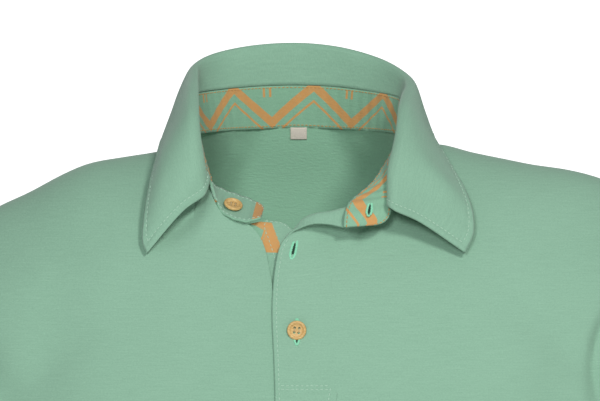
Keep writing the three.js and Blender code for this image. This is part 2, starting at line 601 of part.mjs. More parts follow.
addPart('front_body', frontBody(), CLOTH);
addPart('back_body', backBody(), CLOTH);
addPart('sleeve_left', sleeve(-1), CLOTH);
addPart('sleeve_right', sleeve(1), CLOTH);
addPart('collar_stand', gridWall(standPoint, STAND_COLUMNS, STAND_ROWS, COLLAR_WALL), PRINT);
addPart('collar_fall', gridWall(collarPoint, COLLAR_COLUMNS, COLLAR_ROWS, COLLAR_WALL), CLOTH);
addPart('top_placket', panelThrough(TOP_PLACKET, 9, 27), PLACKET_CLOTH);
addPart('under_placket', panelThrough(UNDER_PLACKET, 5, 13), PRINT);
addPart('button_stand', standButton(), WOOD);
addPart('button_second', frontButton(-2.4, -64, 1.1), WOOD);
addPart('button_third', frontButton(-0.8, -115.3, 4.4), WOOD);
addPart('size_label', sizeLabel(), CREAM);

export default shirt;
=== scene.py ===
"""Dressed model of a short-sleeved polo shirt, filled out and hollow, collar open."""

import math

import bpy
import numpy as np
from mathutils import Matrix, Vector


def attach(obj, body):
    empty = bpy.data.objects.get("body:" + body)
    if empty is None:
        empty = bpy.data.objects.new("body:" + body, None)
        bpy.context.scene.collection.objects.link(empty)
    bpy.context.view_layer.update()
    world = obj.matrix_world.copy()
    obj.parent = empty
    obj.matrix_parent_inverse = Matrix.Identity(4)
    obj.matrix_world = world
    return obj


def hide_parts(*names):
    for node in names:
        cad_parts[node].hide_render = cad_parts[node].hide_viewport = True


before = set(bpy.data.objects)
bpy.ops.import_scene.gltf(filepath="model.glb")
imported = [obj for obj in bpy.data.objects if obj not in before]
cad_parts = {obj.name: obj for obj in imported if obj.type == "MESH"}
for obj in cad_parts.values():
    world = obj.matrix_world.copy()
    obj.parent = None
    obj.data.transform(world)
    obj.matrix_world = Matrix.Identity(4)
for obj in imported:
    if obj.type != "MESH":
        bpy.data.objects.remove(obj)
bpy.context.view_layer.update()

# The forms below are worked out in millimetres and built in metres.
MM = 0.001
TURN = 2 * math.pi

# Cloth
BODY_WALL = 1.3
COLLAR_WALL = 1.6
PLACKET_WALL = 1.4

# Body
HEM_Z = -740.0
ARMPIT_Z = -255.0
CHEST_HALF_WIDTH = 232.0
TIP_X = 228.0
ACROSS_FRONT_HALF = 196.0
ARMHOLE_WAIST_Z = -135.0
RING_POWER = 2.3
SHOULDER_ROUND = 70.0
SHOULDER_LINE_Y = 5.0
NECK_RISE = 90.0
NECK_RISE_REACH = 40.0
PANEL_GAP = 0.12

# Height of the shoulder line: distance from the centre plane, left side, right side
SHOULDER = [
    (60, 10, 9), (78, 2.5, 2), (86, -0.6, 1), (94, -1.6, 3.4), (115, -4.6, -1.5),
    (137, -8.6, -6), (154, -15.5, -9.4), (177, -27.7, -12.8), (195, -36, -17.2),
    (228, -53, -29),
]

# Depth of the body: height, in front of its middle, behind its middle
DEPTH = [
    (-740, 104, 104), (-420, 108, 102), (-255, 113, 106), (-150, 106, 105),
    (-90, 90, 98), (-55, 75, 90), (-20, 66, 80), (10, 60, 66), (30, 56, 56),
]

# Neckline: distance from the centre plane, height
NECK_FRONT_LEFT = [
    (67, 12), (62.5, -6.5), (58.5, -19.5), (54.5, -31.5), (49, -40.5), (41, -45), (33, -47.5),
    (27, -52.5), (23, -59), (20.5, -66), (18.5, -76), (16.5, -87), (15, -104), (13, -140),
]
NECK_FRONT_RIGHT = [
    (67, 12), (63.5, 0), (60, -7), (55.5, -13.5), (49, -22.5), (43, -29), (38, -36), (20, -52),
]
NECK_BACK = [(67, 12), (60, 13.3), (40, 15.3), (0, 17.3)]

SLIT_FOOT_Z = -150.0

# Sleeves
SLEEVE_LENGTH = 225.0
SLEEVE_ANGLE = math.radians(38)
CUFF_HALF_HEIGHT = 64.0
CUFF_HALF_DEPTH = 52.0
ARMHOLE_GAP = 1.2
CAP_BULGE = 9.0

# Broad soft folds: top x and z, foot x and z, half width, depth
FRONT_FOLDS = [
    (-150, -60, -205, -420, 26, 4.5), (176, -90, 120, -520, 24, 4),
    (60, -300, 30, -740, 34, 5), (-70, -260, -95, -740, 30, 4.5),
    (190, -330, 170, -740, 28, 4),
]
BACK_FOLDS = [
    (-120, -90, -90, -620, 30, 5), (130, -110, 85, -700, 34, 4.5),
    (15, -200, -10, -740, 28, 4), (-185, -200, -175, -740, 24, 3.5),
]

# Narrower creases laid over the folds, in the same columns; a negative depth is a ridge
FRONT_CREASES = [
    (-196, -168, -112, -112, 9, 2.6), (-200, -196, -120, -178, 11, -1.8),
    (197, -150, 128, -96, 8, 2.8), (199, -186, 118, -150, 12, -2.0),
    (186, -230, 150, -330, 10, 2.4), (-190, -240, -160, -350, 12, 2.2),
    (-30, -190, -48, -330, 13, 1.5), (44, -170, 60, -300, 12, 1.4),
    (-96, -80, -128, -150, 16, 1.3), (112, -86, 140, -170, 15, -1.2),
    (-210, -470, -120, -560, 12, 2.4), (205, -520, 110, -610, 14, 2.2),
    (20, -420, -60, -600, 14, -1.8), (-150, -600, -165, -735, 10, 2.4),
    (98, -560, 92, -738, 11, 2.2), (-20, -610, -8, -738, 10, 2.0),
    (-57, -25, -96, -58, 4, 5), (62, -33, 106, -64, 4, 5), (36, -49, 60, -45, 4.5, 6),
    (198, -106, 191, -180, 4.5, 6), (-197, -128, -188, -185, 8, 3.4),
]
BACK_CREASES = [
    (-194, -150, -90, -120, 12, 2.6), (195, -162, 96, -140, 11, 2.8),
    (-49, 6, -46, -34, 4, 2.4), (38, 8, 52, -40, 6, 1.8),
    (-60, -60, -20, -190, 16, 1.6), (66, -50, 30, -170, 15, 1.5),
    (-198, -220, -130, -300, 12, 2.4), (199, -230, 140, -330, 13, 2.4),
    (-205, -430, -90, -520, 14, 2.6), (200, -450, 70, -560, 15, 2.4),
    (-70, -560, -84, -738, 11, 2.2), (60, -590, 70, -738, 12, 2.4),
    (150, -600, 158, -738, 10, -1.8), (-140, -620, -150, -738, 10, 1.8),
]

# Collar stand: lower edge x, y, z and upper edge x, y, z, from the button end round the back
STAND_ROWS = [
    (-24, -72, -43.5, -21.5, -52, -37), (-33, -71, -45.8, -31, -49, -32),
    (-41, -69, -44.2, -39.5, -46, -29), (-49, -65.5, -39.8, -49, -46, -25.5),
    (-54, -60.5, -29.5, -57, -59, -19.5), (-57, -52.2, -18, -62, -64, -3),
    (-61, -39, -6, -65, -53, 14), (-64, -24.5, 4.3, -66.5, -36, 26),
    (-66.8, -9.4, 10.5, -67.5, -16, 34), (-67, 5, 12.5, -68.5, 2, 37),
    (-64, 19.1, 12.7, -66.5, 18, 38.5), (-54, 36.9, 14, -57, 37, 40.4),
    (-40, 54.6, 15.3, -42, 52, 42.5), (-20, 66.8, 16.4, -21, 62, 44.3),
    (0, 67.6, 17.3, 0, 63.5, 44.7), (20, 66.8, 16.4, 21, 62, 44),
    (40, 54.6, 15.3, 42, 52, 41.4), (54, 36.9, 14, 57, 37, 38.5),
    (64, 19.1, 12.7, 67, 20, 35.5), (67, 5, 12, 69, 3, 32.5),
    (66.5, -9.4, 9.8, 68, -14, 30), (64, -27, 3.6, 66.8, -36, 22),
    (60.5, -42, -3.5, 65.5, -52, 10), (55.5, -54, -11, 63, -63, -4),
    (49, -64, -20.5, 61.5, -71, -15), (42, -71.5, -27, 61, -75, -23),
    (36.5, -77, -31.5, 60.4, -78.5, -29), (32.5, -83, -36, 59.6, -80.5, -34),
    (30.5, -87, -42.5, 59.2, -83.5, -40.5), (30, -88, -49.7, 58, -86, -47.7),
]

COLLAR_SEAM = [
    (-57.2, -61.8, -17.6), (-60, -63.3, -11.5), (-62, -63, -1), (-65, -53, 14),
    (-66.5, -36, 26), (-67.5, -16, 34), (-68.5, 2, 37), (-64, 25, 39.2),
    (-50, 45, 41.6), (-26, 60.2, 44), (0, 63.5, 44.7), (26, 60.2, 43.5),
    (50, 45, 39.8), (66, 23, 35.8), (69, 3, 32.5), (68, -14, 30),
    (66.8, -36, 22), (65.5, -52, 10), (63, -63, -4), (61.5, -71.5, -17.5),
    (61, -82, -36.5),
]

COLLAR_ROLL = [
    (-58.2, -66.6, -23.5), (-60.8, -68, -9), (-62.8, -65.5, 4), (-64.5, -55, 19.5),
    (-65.6, -37, 32), (-66, -15, 42.5), (-66.6, 4, 50), (-66, 28, 58),
    (-54, 50, 65), (-28, 62, 71), (0, 65.5, 72.6), (28, 62, 69.5),
    (54, 50, 61.5), (70, 26, 51), (72, 6, 44), (69, -13, 37),
    (66.2, -37, 27.5), (64.2, -54, 15), (61.4, -66.5, 1), (58, -77, -14.5),
    (57.6, -88, -36),
]

COLLAR_OVER = [
    (-60.8, -71.5, -29.5), (-65, -73.5, -13.5), (-67.2, -69, 4), (-69.2, -58.5, 19.5),
    (-70.2, -39.5, 32), (-70.7, -17, 42), (-71.2, 4, 48.5), (-70.5, 30, 56),
    (-58, 53, 63), (-30, 66.6, 69), (0, 70, 71), (30, 66.6, 67.5),
    (58, 53, 59.5), (74.5, 27.5, 49), (76.5, 5, 42.5), (73.7, -15.5, 36.5),
    (71, -39.5, 27), (69, -57.5, 14.5), (66, -71, 0.5), (62.5, -82.5, -17.5),
    (61.5, -93, -39),
]

COLLAR_LEAF = [
    (-73, -75, -38.5), (-81, -76.5, -33), (-85.5, -71, -18), (-86, -58, -2),
    (-84, -36, 12), (-83.5, -12, 20.5), (-83, 11, 26), (-80.5, 34, 31),
    (-66, 61, 41), (-37, 77, 50), (0, 83, 52), (37, 77, 48.5),
    (68, 60, 39), (82, 31, 29), (84, 5, 22), (85.5, -18, 14),
    (88, -40, 4), (90, -58.5, -8), (91, -72, -19), (87, -80, -33.5),
    (77, -87.5, -46),
]

COLLAR_EDGE = [
    (-97, -76, -66.5), (-99.5, -73.5, -60), (-98.5, -68.5, -43), (-95.5, -55, -22),
    (-92.5, -30, -6.5), (-91, -5, 2.6), (-90, 17, 6), (-85, 38, 11),
    (-71, 64, 22), (-40, 84, 31), (0, 91, 34), (41, 84, 30),
    (74, 63, 20), (89, 30, 10), (90, -3, 5.6), (94.5, -26, -1.5),
    (101.5, -41, -14), (107.5, -56.5, -26), (112, -67, -40), (112.5, -73, -54),
    (107, -77.5, -66),
]


# Top placket from its foot to the neck seam: leading edge, roll, back of the roll and sewn
# side, each as x, z and the distance in front of the body
TOP_PLACKET = [
    [(-14, -178, 1.9), (-3, -178, 1.9), (9, -178, 1.7), (21.5, -178, 1.2)],
    [(-15, -140, 1.9), (-4, -140, 1.9), (14, -140, 1.1), (27, -140, -0.5)],
    [(-16.4, -100, 2.2), (-5, -100, 2.2), (13, -99, 1.4), (27, -98, -0.5)],
    [(-14.4, -75, 3.0), (-4, -74, 2.8), (12, -72, 2.0), (28, -70, -0.5)],
    [(-11, -61, 4.0), (-2, -60, 3.6), (12, -60, 2.2), (28.5, -60, -0.5)],
    [(-5.6, -54, 7), (0, -51.5, 6.4), (13, -55, 2.0), (29, -56, -0.5)],
    [(0.8, -50.5, 11), (3.4, -45, 9), (14, -50.5, 2.2), (30, -54, -0.4)],
    [(9.5, -47.6, 14.5), (11, -41.5, 11.5), (16.5, -47, 2.4), (30, -52, 0.2)],
    [(19.5, -47.8, 15.5), (20.5, -40, 12), (23, -45.6, 3.4), (32.5, -50.5, 0.8)],
    [(29, -49.8, 15.5), (32.2, -37, 12), (33.2, -43.2, 5), (37.6, -47.6, 2)],
]

# Under placket: sewn side and free side
UNDER_PLACKET = [
    [(-24, -172, -2), (16, -172, -2)],
    [(-24, -130, -2), (15, -130, -2)],
    [(-26, -95, -2), (12, -95, -2.2)],
    [(-28.5, -74, -2), (8, -74, -2.6)],
    [(-33, -58, -2), (2, -60, -3.4)],
    [(-36, -50.5, -2.2), (-8, -48, -5)],
    [(-34, -48.3, -2.6), (-20, -45.8, -4.6)],
]


# Small helpers
def mix(a, b, t):
    return a + (b - a) * t


def unit(vectors):
    return vectors / np.maximum(np.linalg.norm(vectors, axis=-1, keepdims=True), 1e-9)


def run_length(line):
    """Distance along a line to each of its places."""
    return np.concatenate([[0], np.cumsum(np.linalg.norm(np.diff(line, axis=0), axis=1))])


def add_object(name, data):
    item = bpy.data.objects.new(name, data)
    bpy.context.collection.objects.link(item)
    return item


def ease(t):
    t = np.clip(t, 0.0, 1.0)
    return t * t * (3 - 2 * t)


def read_table(rows, at, column):
    """A smooth curve through a table's rows, read at its first column."""
    table = np.array(sorted(rows), float)
    key, value = table[:, 0], table[:, column]
    slope = np.empty_like(value)
    slope[1:-1] = (value[2:] - value[:-2]) / (key[2:] - key[:-2])
    slope[0] = (value[1] - value[0]) / (key[1] - key[0])
    slope[-1] = (value[-1] - value[-2]) / (key[-1] - key[-2])
    at = np.asarray(at, float)
    i = np.clip(np.searchsorted(key, at) - 1, 0, len(key) - 2)
    gap = key[i + 1] - key[i]
    t = np.clip((at - key[i]) / gap, 0, 1)
    h = t * t * (3 - 2 * t)
    value_at = value[i] * (1 - h) + value[i + 1] * h
    value_at = value_at + slope[i] * gap * t * (1 - t) ** 2
    return value_at - slope[i + 1] * gap * t * t * (1 - t)


def smooth_path(points, at):
    """Places on a smooth curve through points, at shares of its rows from 0 to 1."""
    p = np.asarray(points, float)
    last = len(p) - 1
    place = np.clip(np.asarray(at, float), 0, 1) * last
    i = np.minimum(place.astype(int), last - 1)
    w = (place - i)[:, None]
    padded = np.vstack([2 * p[0] - p[1], p, 2 * p[-1] - p[-2]])
    p0, p1, p2, p3 = padded[i], padded[i + 1], padded[i + 2], padded[i + 3]

    def knot(a, b):
        return np.maximum(np.linalg.norm(b - a, axis=1) ** 0.5, 1e-4)[:, None]

    d0, d1, d2 = knot(p0, p1), knot(p1, p2), knot(p2, p3)
    m1 = ((p1 - p0) / d0 - (p2 - p0) / (d0 + d1) + (p2 - p1) / d1) * d1
    m2 = ((p2 - p1) / d1 - (p3 - p1) / (d1 + d2) + (p3 - p2) / d2) * d1
    c2 = -3 * p1 + 3 * p2 - 2 * m1 - m2
    c3 = 2 * p1 - 2 * p2 + m1 + m2
    return p1 + m1 * w + c2 * w**2 + c3 * w**3


def refined(values, times):
    """The same values with more between them."""
    values = np.asarray(values, float)
    steps = np.arange((len(values) - 1) * times + 1) / times
    return np.interp(steps, np.arange(len(values)), values)


# Form of the body
def shoulder_z(x):
    reach = np.abs(x)
    held = np.clip(reach, 60, TIP_X)
    line = np.where(x < 0, read_table(SHOULDER, held, 1), read_table(SHOULDER, held, 2))
    return line + NECK_RISE * np.exp(-((reach / NECK_RISE_REACH) ** 2))


def edge_x(z, side):
    """Half width of the body panels: the side seam, then the armhole."""
    z = np.asarray(z, float)
    tip_z = np.where(side < 0, SHOULDER[-1][1], SHOULDER[-1][2])
    upper = mix(ACROSS_FRONT_HALF, TIP_X, ease((z - ARMHOLE_WAIST_Z) / (tip_z - ARMHOLE_WAIST_Z)))
    t = np.clip((z - ARMHOLE_WAIST_Z) / (ARMPIT_Z - ARMHOLE_WAIST_Z), 0, 1)
    lower = mix(ACROSS_FRONT_HALF, CHEST_HALF_WIDTH, 1 - np.sqrt(1 - t**2.4))
    x = np.where(z >= ARMHOLE_WAIST_Z, upper, lower)
    x = np.where(z <= ARMPIT_Z, CHEST_HALF_WIDTH, x)
    return np.where(z >= tip_z, TIP_X, x)


def fold_depth(folds, x, z):
    total = np.zeros(np.broadcast(x, z).shape)
    for x0, z0, x1, z1, width, deep in folds:
        along = (z0 - z) / (z0 - z1)
        t = np.clip(along, 0, 1)
        off = (x - mix(x0, x1, t)) / (width * mix(0.7, 1.3, t))
        ends = np.sin(np.pi * np.clip(along * 0.9 + 0.05, 0, 1)) ** 0.8
        inside = (along > -0.05) & (along < 1.05)
        total += deep * ends * np.exp(-off * off) * inside
    return total


def crease_depth(creases, x, z):
    """Troughs and ridges along slanting lines, softer at one side than at the other."""
    total = np.zeros(np.broadcast(x, z).shape)
    for x0, z0, x1, z1, width, deep in creases:
        run = np.hypot(x1 - x0, z1 - z0)
        ux, uz = (x1 - x0) / run, (z1 - z0) / run
        along = ((x - x0) * ux + (z - z0) * uz) / run
        off = (x - x0) * uz - (z - z0) * ux + 5 * np.sin(along * 4 + x0)
        side = np.where(off > 0, width, width * 1.7) * mix(0.75, 1.35, np.clip(along, 0, 1))
        fade = ease((along + 0.15) / 0.35) * ease((1.15 - along) / 0.55)
        total += deep * fade * np.exp(-((off / side) ** 2))
    return total


def body_y(x, z, face, fine=False):
    """Depth of the cloth at a place in the front view."""
    x, z = np.asarray(x, float), np.asarray(z, float)
    front = face == "front"
    depth = read_table(DEPTH, np.clip(z, HEM_Z, 30), 1 if front else 2)
    widen = ease((z - ARMPIT_Z) / 150)
    half = mix(CHEST_HALF_WIDTH, 252, widen)
    across = (1 - np.minimum(1, np.abs(x) / half) ** RING_POWER) ** (1 / RING_POWER)
    drop = np.clip((shoulder_z(x) - z) / SHOULDER_ROUND, 0, 1)
    full = depth * across * np.sqrt(1 - (1 - drop) ** 2)
    sunk = fold_depth(FRONT_FOLDS if front else BACK_FOLDS, x, z)
    if fine:
        sunk = sunk + crease_depth(FRONT_CREASES if front else BACK_CREASES, x, z)
    full = full - sunk * np.clip(full / 60, 0, 1)
    return SHOULDER_LINE_Y + (-full if front else full)


# Meshes
def grid_normals(grid, wrap=False):
    def spread(axis, turn):
        if turn:
            return np.roll(grid, -1, axis) - np.roll(grid, 1, axis)
        return np.gradient(grid, axis=axis)

    return unit(np.cross(spread(0, wrap), spread(1, False)))


def make_mesh(name, points, faces, material, uvs=None, face_material=None, replaced=()):
    mesh = bpy.data.meshes.new(name)
    mesh.from_pydata(points.tolist(), [], faces.tolist())
    for one in material if isinstance(material, (list, tuple)) else [material]:
        mesh.materials.append(one)
    mesh.polygons.foreach_set("use_smooth", np.ones(len(faces), bool))
    if face_material is not None:
        mesh.polygons.foreach_set("material_index", face_material.astype(np.int32))
    if uvs is not None:
        layer = mesh.uv_layers.new(name="cloth")
        corners = np.empty(len(mesh.loops), np.int32)
        mesh.loops.foreach_get("vertex_index", corners)
        layer.data.foreach_set("uv", uvs[corners].ravel())
    mesh.update()
    piece = add_object(name, mesh)
    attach(piece, "root")
    if replaced:
        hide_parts(*replaced)
    return piece


def shell(name, grid, thickness, material, keep=None, wrap=False, replaced=(), uv=None):
    """A closed thin wall on a grid in millimetres; a second material is its inner face."""
    n, m = grid.shape[:2]
    normal = grid_normals(grid, wrap)
    if uv is None:
        steps = [np.linalg.norm(np.diff(grid, axis=k), axis=2).mean(axis=1 - k) for k in (0, 1)]
        u, v = (np.concatenate([[0], np.cumsum(step)]) for step in steps)
        uv = np.stack(np.meshgrid(u, v, indexing="ij"), axis=2)
    outer = grid + normal * thickness / 2
    inner = grid - normal * thickness / 2
    points = np.concatenate([outer.reshape(-1, 3), inner.reshape(-1, 3)]) * MM
    uvs = np.concatenate([uv.reshape(-1, 2)] * 2) * MM
    index = np.arange(n * m).reshape(n, m)
    ahead = np.roll(index, -1, 0) if wrap else index[1:]
    start = index if wrap else index[:-1]
    rows = len(start)
    kept = np.ones((rows, m - 1), bool) if keep is None else keep
    a, b = start[:, :-1], ahead[:, :-1]
    c, d = ahead[:, 1:], start[:, 1:]
    low = n * m
    faces = [np.stack([a, b, c, d], -1)[kept], np.stack([a, d, c, b], -1)[kept] + low]
    sides = [np.zeros(len(faces[0])), np.ones(len(faces[1]))]
    around = np.zeros((rows + 2, m + 1), bool)
    around[1:-1, 1:-1] = kept
    if wrap:
        around[0, 1:-1], around[-1, 1:-1] = kept[-1], kept[0]
    rims = (
        (kept & ~around[1:-1, :-2], a, b), (kept & ~around[1:-1, 2:], c, d),
        (kept & ~around[:-2, 1:-1], d, a), (kept & ~around[2:, 1:-1], b, c),
    )
    for bare, p, q in rims:
        p, q = p[bare], q[bare]
        faces.append(np.stack([p, p + low, q + low, q], -1))
        sides.append(np.zeros(len(p)))
    faces, sides = np.concatenate(faces), np.concatenate(sides)
    used, renamed = np.unique(faces, return_inverse=True)
    faces = renamed.reshape(faces.shape)
    tint = sides if isinstance(material, list) else None
    return make_mesh(name, points[used], faces, material, uvs[used], tint, replaced)


# Materials
def linear(r, g, b):
    """A screen colour in 0 to 255 as a linear colour."""
    def one(c):
        c /= 255
        return c / 12.92 if c <= 0.04045 else ((c + 0.055) / 1.055) ** 2.4

    return (one(r), one(g), one(b), 1.0)


class Graph:
    """A material's node tree with short calls for its nodes."""

    def __init__(self, name, roughness):
        self.material = bpy.data.materials.new(name)
        self.material.use_nodes = True
        self.tree = self.material.node_tree
        self.shader = self.tree.nodes["Principled BSDF"]
        self.shader.inputs["Roughness"].default_value = roughness
        self.shader.inputs["Specular IOR Level"].default_value = 0.25
        self.cloth = self.add("ShaderNodeUVMap", uv_map="cloth").outputs[0]

    def add(self, kind, **settings):
        node = self.tree.nodes.new(kind)
        for key, value in settings.items():
            setattr(node, key, value)
        return node

    def link(self, value, socket):
        if isinstance(value, bpy.types.NodeSocket):
            self.tree.links.new(value, socket)
        else:
            socket.default_value = value

    def math(self, operation, a, b=0.0, c=0.0):
        node = self.add("ShaderNodeMath", operation=operation)
        for value, socket in zip((a, b, c), node.inputs):
            self.link(value, socket)
        return node.outputs[0]

    def noise(self, scale, stretch=(1, 1, 1), detail=3.0, rough=0.5, source=None):
        mapping = self.add("ShaderNodeMapping")
        self.link(source or self.cloth, mapping.inputs["Vector"])
        mapping.inputs["Scale"].default_value = stretch
        node = self.add("ShaderNodeTexNoise")
        self.link(mapping.outputs[0], node.inputs["Vector"])
        node.inputs["Scale"].default_value = scale
        node.inputs["Detail"].default_value = detail
        node.inputs["Roughness"].default_value = rough
        return node.outputs["Fac"]

    def blend(self, share, a, b):
        node = self.add("ShaderNodeMix", data_type="RGBA")
        self.link(share, node.inputs[0])
        self.link(a, node.inputs[6])
        self.link(b, node.inputs[7])
        return node.outputs[2]

    def ramp(self, share, low, high):
        node = self.add("ShaderNodeMapRange", clamp=True)
        self.link(share, node.inputs[0])
        node.inputs[1].default_value = low
        node.inputs[2].default_value = high
        return node.outputs[0]

    def times(self, a, b):
        return self.math("MULTIPLY", a, b)

    def colour(self, value):
        self.link(value, self.shader.inputs["Base Color"])

    def bump(self, height, depth, strength):
        node = self.add("ShaderNodeBump")
        node.inputs["Strength"].default_value = strength
        node.inputs["Distance"].default_value = depth
        self.link(height, node.inputs["Height"])
        self.link(node.outputs[0], self.shader.inputs["Normal"])


def jersey_colour(graph, colour, dark, light):
    """Heathered jersey: fine flecks, thin slubs across the cloth and a faint broad mottle."""
    flecks = graph.noise(900, (1, 1.3, 1), 2.0)
    slubs = graph.noise(60, (1, 22, 1), 4.0, 0.62)
    mottle = graph.noise(9, detail=2.0)
    fleck = graph.math("ADD", graph.times(slubs, 0.45), graph.times(flecks, 0.55))
    toned = graph.blend(graph.ramp(fleck, 0.30, 0.66), dark, colour)
    thin = graph.ramp(graph.noise(34, (1, 38, 1), 3.0, 0.5), 0.62, 0.78)
    toned = graph.blend(graph.times(thin, 0.35), toned, light)
    return graph.blend(graph.times(graph.ramp(mottle, 0.3, 0.7), 0.12), toned, light)


WALE, KNIT_ROW, TAPE_YARN = 0.0011, 0.0009, 0.0005


def jersey_surface(graph):
    """Fine knit rows and a soft uneven hand."""
    across, along, _ = separate(graph)
    wales = graph.math("SINE", graph.times(across, TURN / WALE))
    rows = graph.math("SINE", graph.times(along, TURN / KNIT_ROW))
    knit = graph.times(wales, rows)
    soft = graph.noise(260, (1, 3, 1), 3.0)
    height = graph.math("MULTIPLY_ADD", soft, 1.6, graph.times(knit, 0.25))
    graph.bump(height, 0.00022, 0.75)
    graph.shader.inputs["Sheen Weight"].default_value = 0.22
    graph.shader.inputs["Sheen Roughness"].default_value = 0.45


def separate(graph):
    node = graph.add("ShaderNodeSeparateXYZ")
    graph.link(graph.cloth, node.inputs[0])
    return node.outputs


def jersey(name, colour, dark, light):
    graph = Graph(name, 0.88)
    graph.colour(jersey_colour(graph, colour, dark, light))
    jersey_surface(graph)
    return graph.material


CHEVRON_PERIOD = 0.057
CHEVRON_RISE = 0.0205
BAND_HALF = 0.0028
CHEVRON_FOOT = 0.0035
ECHO_DROP, ECHO_HALF = 0.0086, 0.0008
BARS_HALF, BAR_STEP, BAR_HALF = 0.0062, 0.0021, 0.0008
BARS_HEIGHT, BARS_RISE = 0.0205, 0.0026


def printed(name, colour, dark, light, ink, shift, band=BAND_HALF, upright=False):
    """Jersey with tan chevrons, a thinner echo under them and small bars between."""
    graph = Graph(name, 0.86)
    cloth = jersey_colour(graph, colour, dark, light)
    across, along, _ = separate(graph)
    if upright:
        across, along = along, across
    moved = graph.math("ADD", across, shift)
    tooth = graph.math("PINGPONG", moved, CHEVRON_PERIOD / 2)
    slope = CHEVRON_RISE / (CHEVRON_PERIOD / 2)
    line = graph.math("MULTIPLY_ADD", tooth, slope, CHEVRON_FOOT)
    bold = graph.math("COMPARE", along, line, band)
    echo = graph.math("COMPARE", along, graph.math("SUBTRACT", line, ECHO_DROP), ECHO_HALF)
    phase = graph.math("MODULO", graph.math("ADD", moved, CHEVRON_PERIOD * 20), CHEVRON_PERIOD)
    centre = graph.math("ABSOLUTE", graph.math("SUBTRACT", phase, CHEVRON_PERIOD * 0.985))
    near = graph.math("LESS_THAN", centre, BARS_HALF)
    stripes = graph.math("LESS_THAN", graph.math("PINGPONG", centre, BAR_STEP), BAR_HALF)
    high = graph.math("COMPARE", along, BARS_HEIGHT, BARS_RISE)
    bars = graph.times(graph.times(near, stripes), high)
    mask = graph.math("MAXIMUM", graph.math("MAXIMUM", bold, echo), bars)
    worn = graph.ramp(graph.noise(420, (1, 1, 1), 3.0), 0.25, 0.5)
    mask = graph.times(mask, graph.math("MULTIPLY_ADD", worn, 0.14, 0.84))
    graph.colour(graph.blend(mask, cloth, ink))
    jersey_surface(graph)
    return graph.material


def thread(name, colour):
    graph = Graph(name, 0.6)
    twist = graph.noise(2400, (1, 4, 1), 2.0, source=object_place(graph))
    dark = tuple(0.72 * c for c in colour[:3]) + (1.0,)
    graph.colour(graph.blend(graph.ramp(twist, 0.35, 0.65), dark, colour))
    graph.shader.inputs["Sheen Weight"].default_value = 0.3
    graph.bump(twist, 0.0001, 0.6)
    return graph.material


def object_place(graph):
    return graph.add("ShaderNodeTexCoord").outputs["Object"]


def wood(name):
    graph = Graph(name, 0.42)
    place = object_place(graph)
    warp = graph.noise(90, (1, 1, 5), 3.0, source=place)
    grain = graph.noise(420, (1, 1, 9), 4.0, 0.6, source=place)
    pale, brown = linear(228, 198, 136), linear(178, 138, 80)
    toned = graph.blend(graph.ramp(grain, 0.38, 0.66), brown, pale)
    toned = graph.blend(graph.times(graph.ramp(warp, 0.4, 0.7), 0.45), toned,
                        linear(208, 168, 104))
    graph.colour(toned)
    graph.shader.inputs["Coat Weight"].default_value = 0.15
    graph.shader.inputs["Coat Roughness"].default_value = 0.3
    graph.bump(grain, 0.0001, 0.5)
    return graph.material


def woven_tape(name, colour):
    graph = Graph(name, 0.75)
    across, along, _ = separate(graph)
    warp = graph.math("SINE", graph.times(across, TURN / TAPE_YARN))
    weft = graph.math("SINE", graph.times(along, TURN / TAPE_YARN))
    weave = graph.times(warp, weft)
    dark = tuple(0.8 * c for c in colour[:3]) + (1.0,)
    graph.colour(graph.blend(graph.ramp(weave, -1.0, 0.6), dark, colour))
    graph.bump(weave, 0.0001, 0.6)
    return graph.material


GREEN = linear(141, 182, 157)
GREEN_DARK = linear(128, 168, 144)
GREEN_LIGHT = linear(158, 197, 173)
FACING = linear(138, 184, 155)
FACING_DARK = linear(126, 171, 143)
INK = linear(205, 152, 92)

CLOTH = jersey("body_cloth_jersey", GREEN, GREEN_DARK, GREEN_LIGHT)
# Inner face of the body and sleeves: the same jersey made lighter than the outer cloth, painted
# light for the inside of the shirt
INSIDE_PAINTED_LIGHT = jersey("inside_jersey_painted_light", linear(157, 208, 177), linear(146, 196, 165), FACING)
FOLD_PRINT = jersey("fold_print", INK, linear(186, 140, 86), linear(214, 166, 108))
PRINT_STAND = printed("stand_print", FACING, FACING_DARK, GREEN, INK, 0.010, 0.0031)
PRINT_PLACKET = printed("placket_print", FACING, FACING_DARK, GREEN, INK, 0.014, 0.0075, True)
TOPSTITCH = thread("topstitch_thread", linear(188, 222, 200))
TAN_STITCH = thread("tan_thread", linear(206, 152, 82))
MINT = thread("buttonhole_thread", linear(152, 230, 192))
BUTTON_THREAD = thread("button_thread", linear(222, 198, 146))
WOOD = wood("turned_wood")
LABEL = woven_tape("label_tape", linear(246, 236, 222))
# Dark jersey for the buttonhole openings: painted shade
SHADOW = jersey("buttonhole_slit", linear(40, 66, 52), linear(30, 52, 40), linear(50, 80, 62))


# Body panels
SHOULDER_COLUMNS = [67, 73, 80, 87, 95, 108, 125, 145, 165, 183, 200, 214, 223, 228]
FRONT_LEFT_COLUMNS = [66, 63, 58, 51, 44, 38, 33, 27, 23, 20.5, 18.5, 16.5, 15, 14]
FRONT_RIGHT_COLUMNS = [20, 29, 38, 46, 52, 57, 61, 64, 66]
BACK_COLUMNS = [0, 15, 30, 43, 54, 61, 65]
LOW_ROWS = [-740, -718, -690, -640, -560, -470, -390, -325, -280, -255.3, -252.3, -244.5,
            -232, -214, -186, -150]
TOP_ROWS = 10
FINER = 4
NECK_X = 67.0
HEM_DEPTH = 22.0
HEM_STEP = 0.5
SEAM_DIP = 0.6


def panel_top(x, neck_left, neck_right):
    """Height of a panel's upper edge: its neckline, then the shoulder."""
    reach = np.abs(x)
    held = np.clip(reach, 0, NECK_X)
    neck = np.where(x < 0, read_table(neck_left, held, 1), read_table(neck_right, held, 1))
    return np.where(reach >= NECK_X, shoulder_z(x), neck)


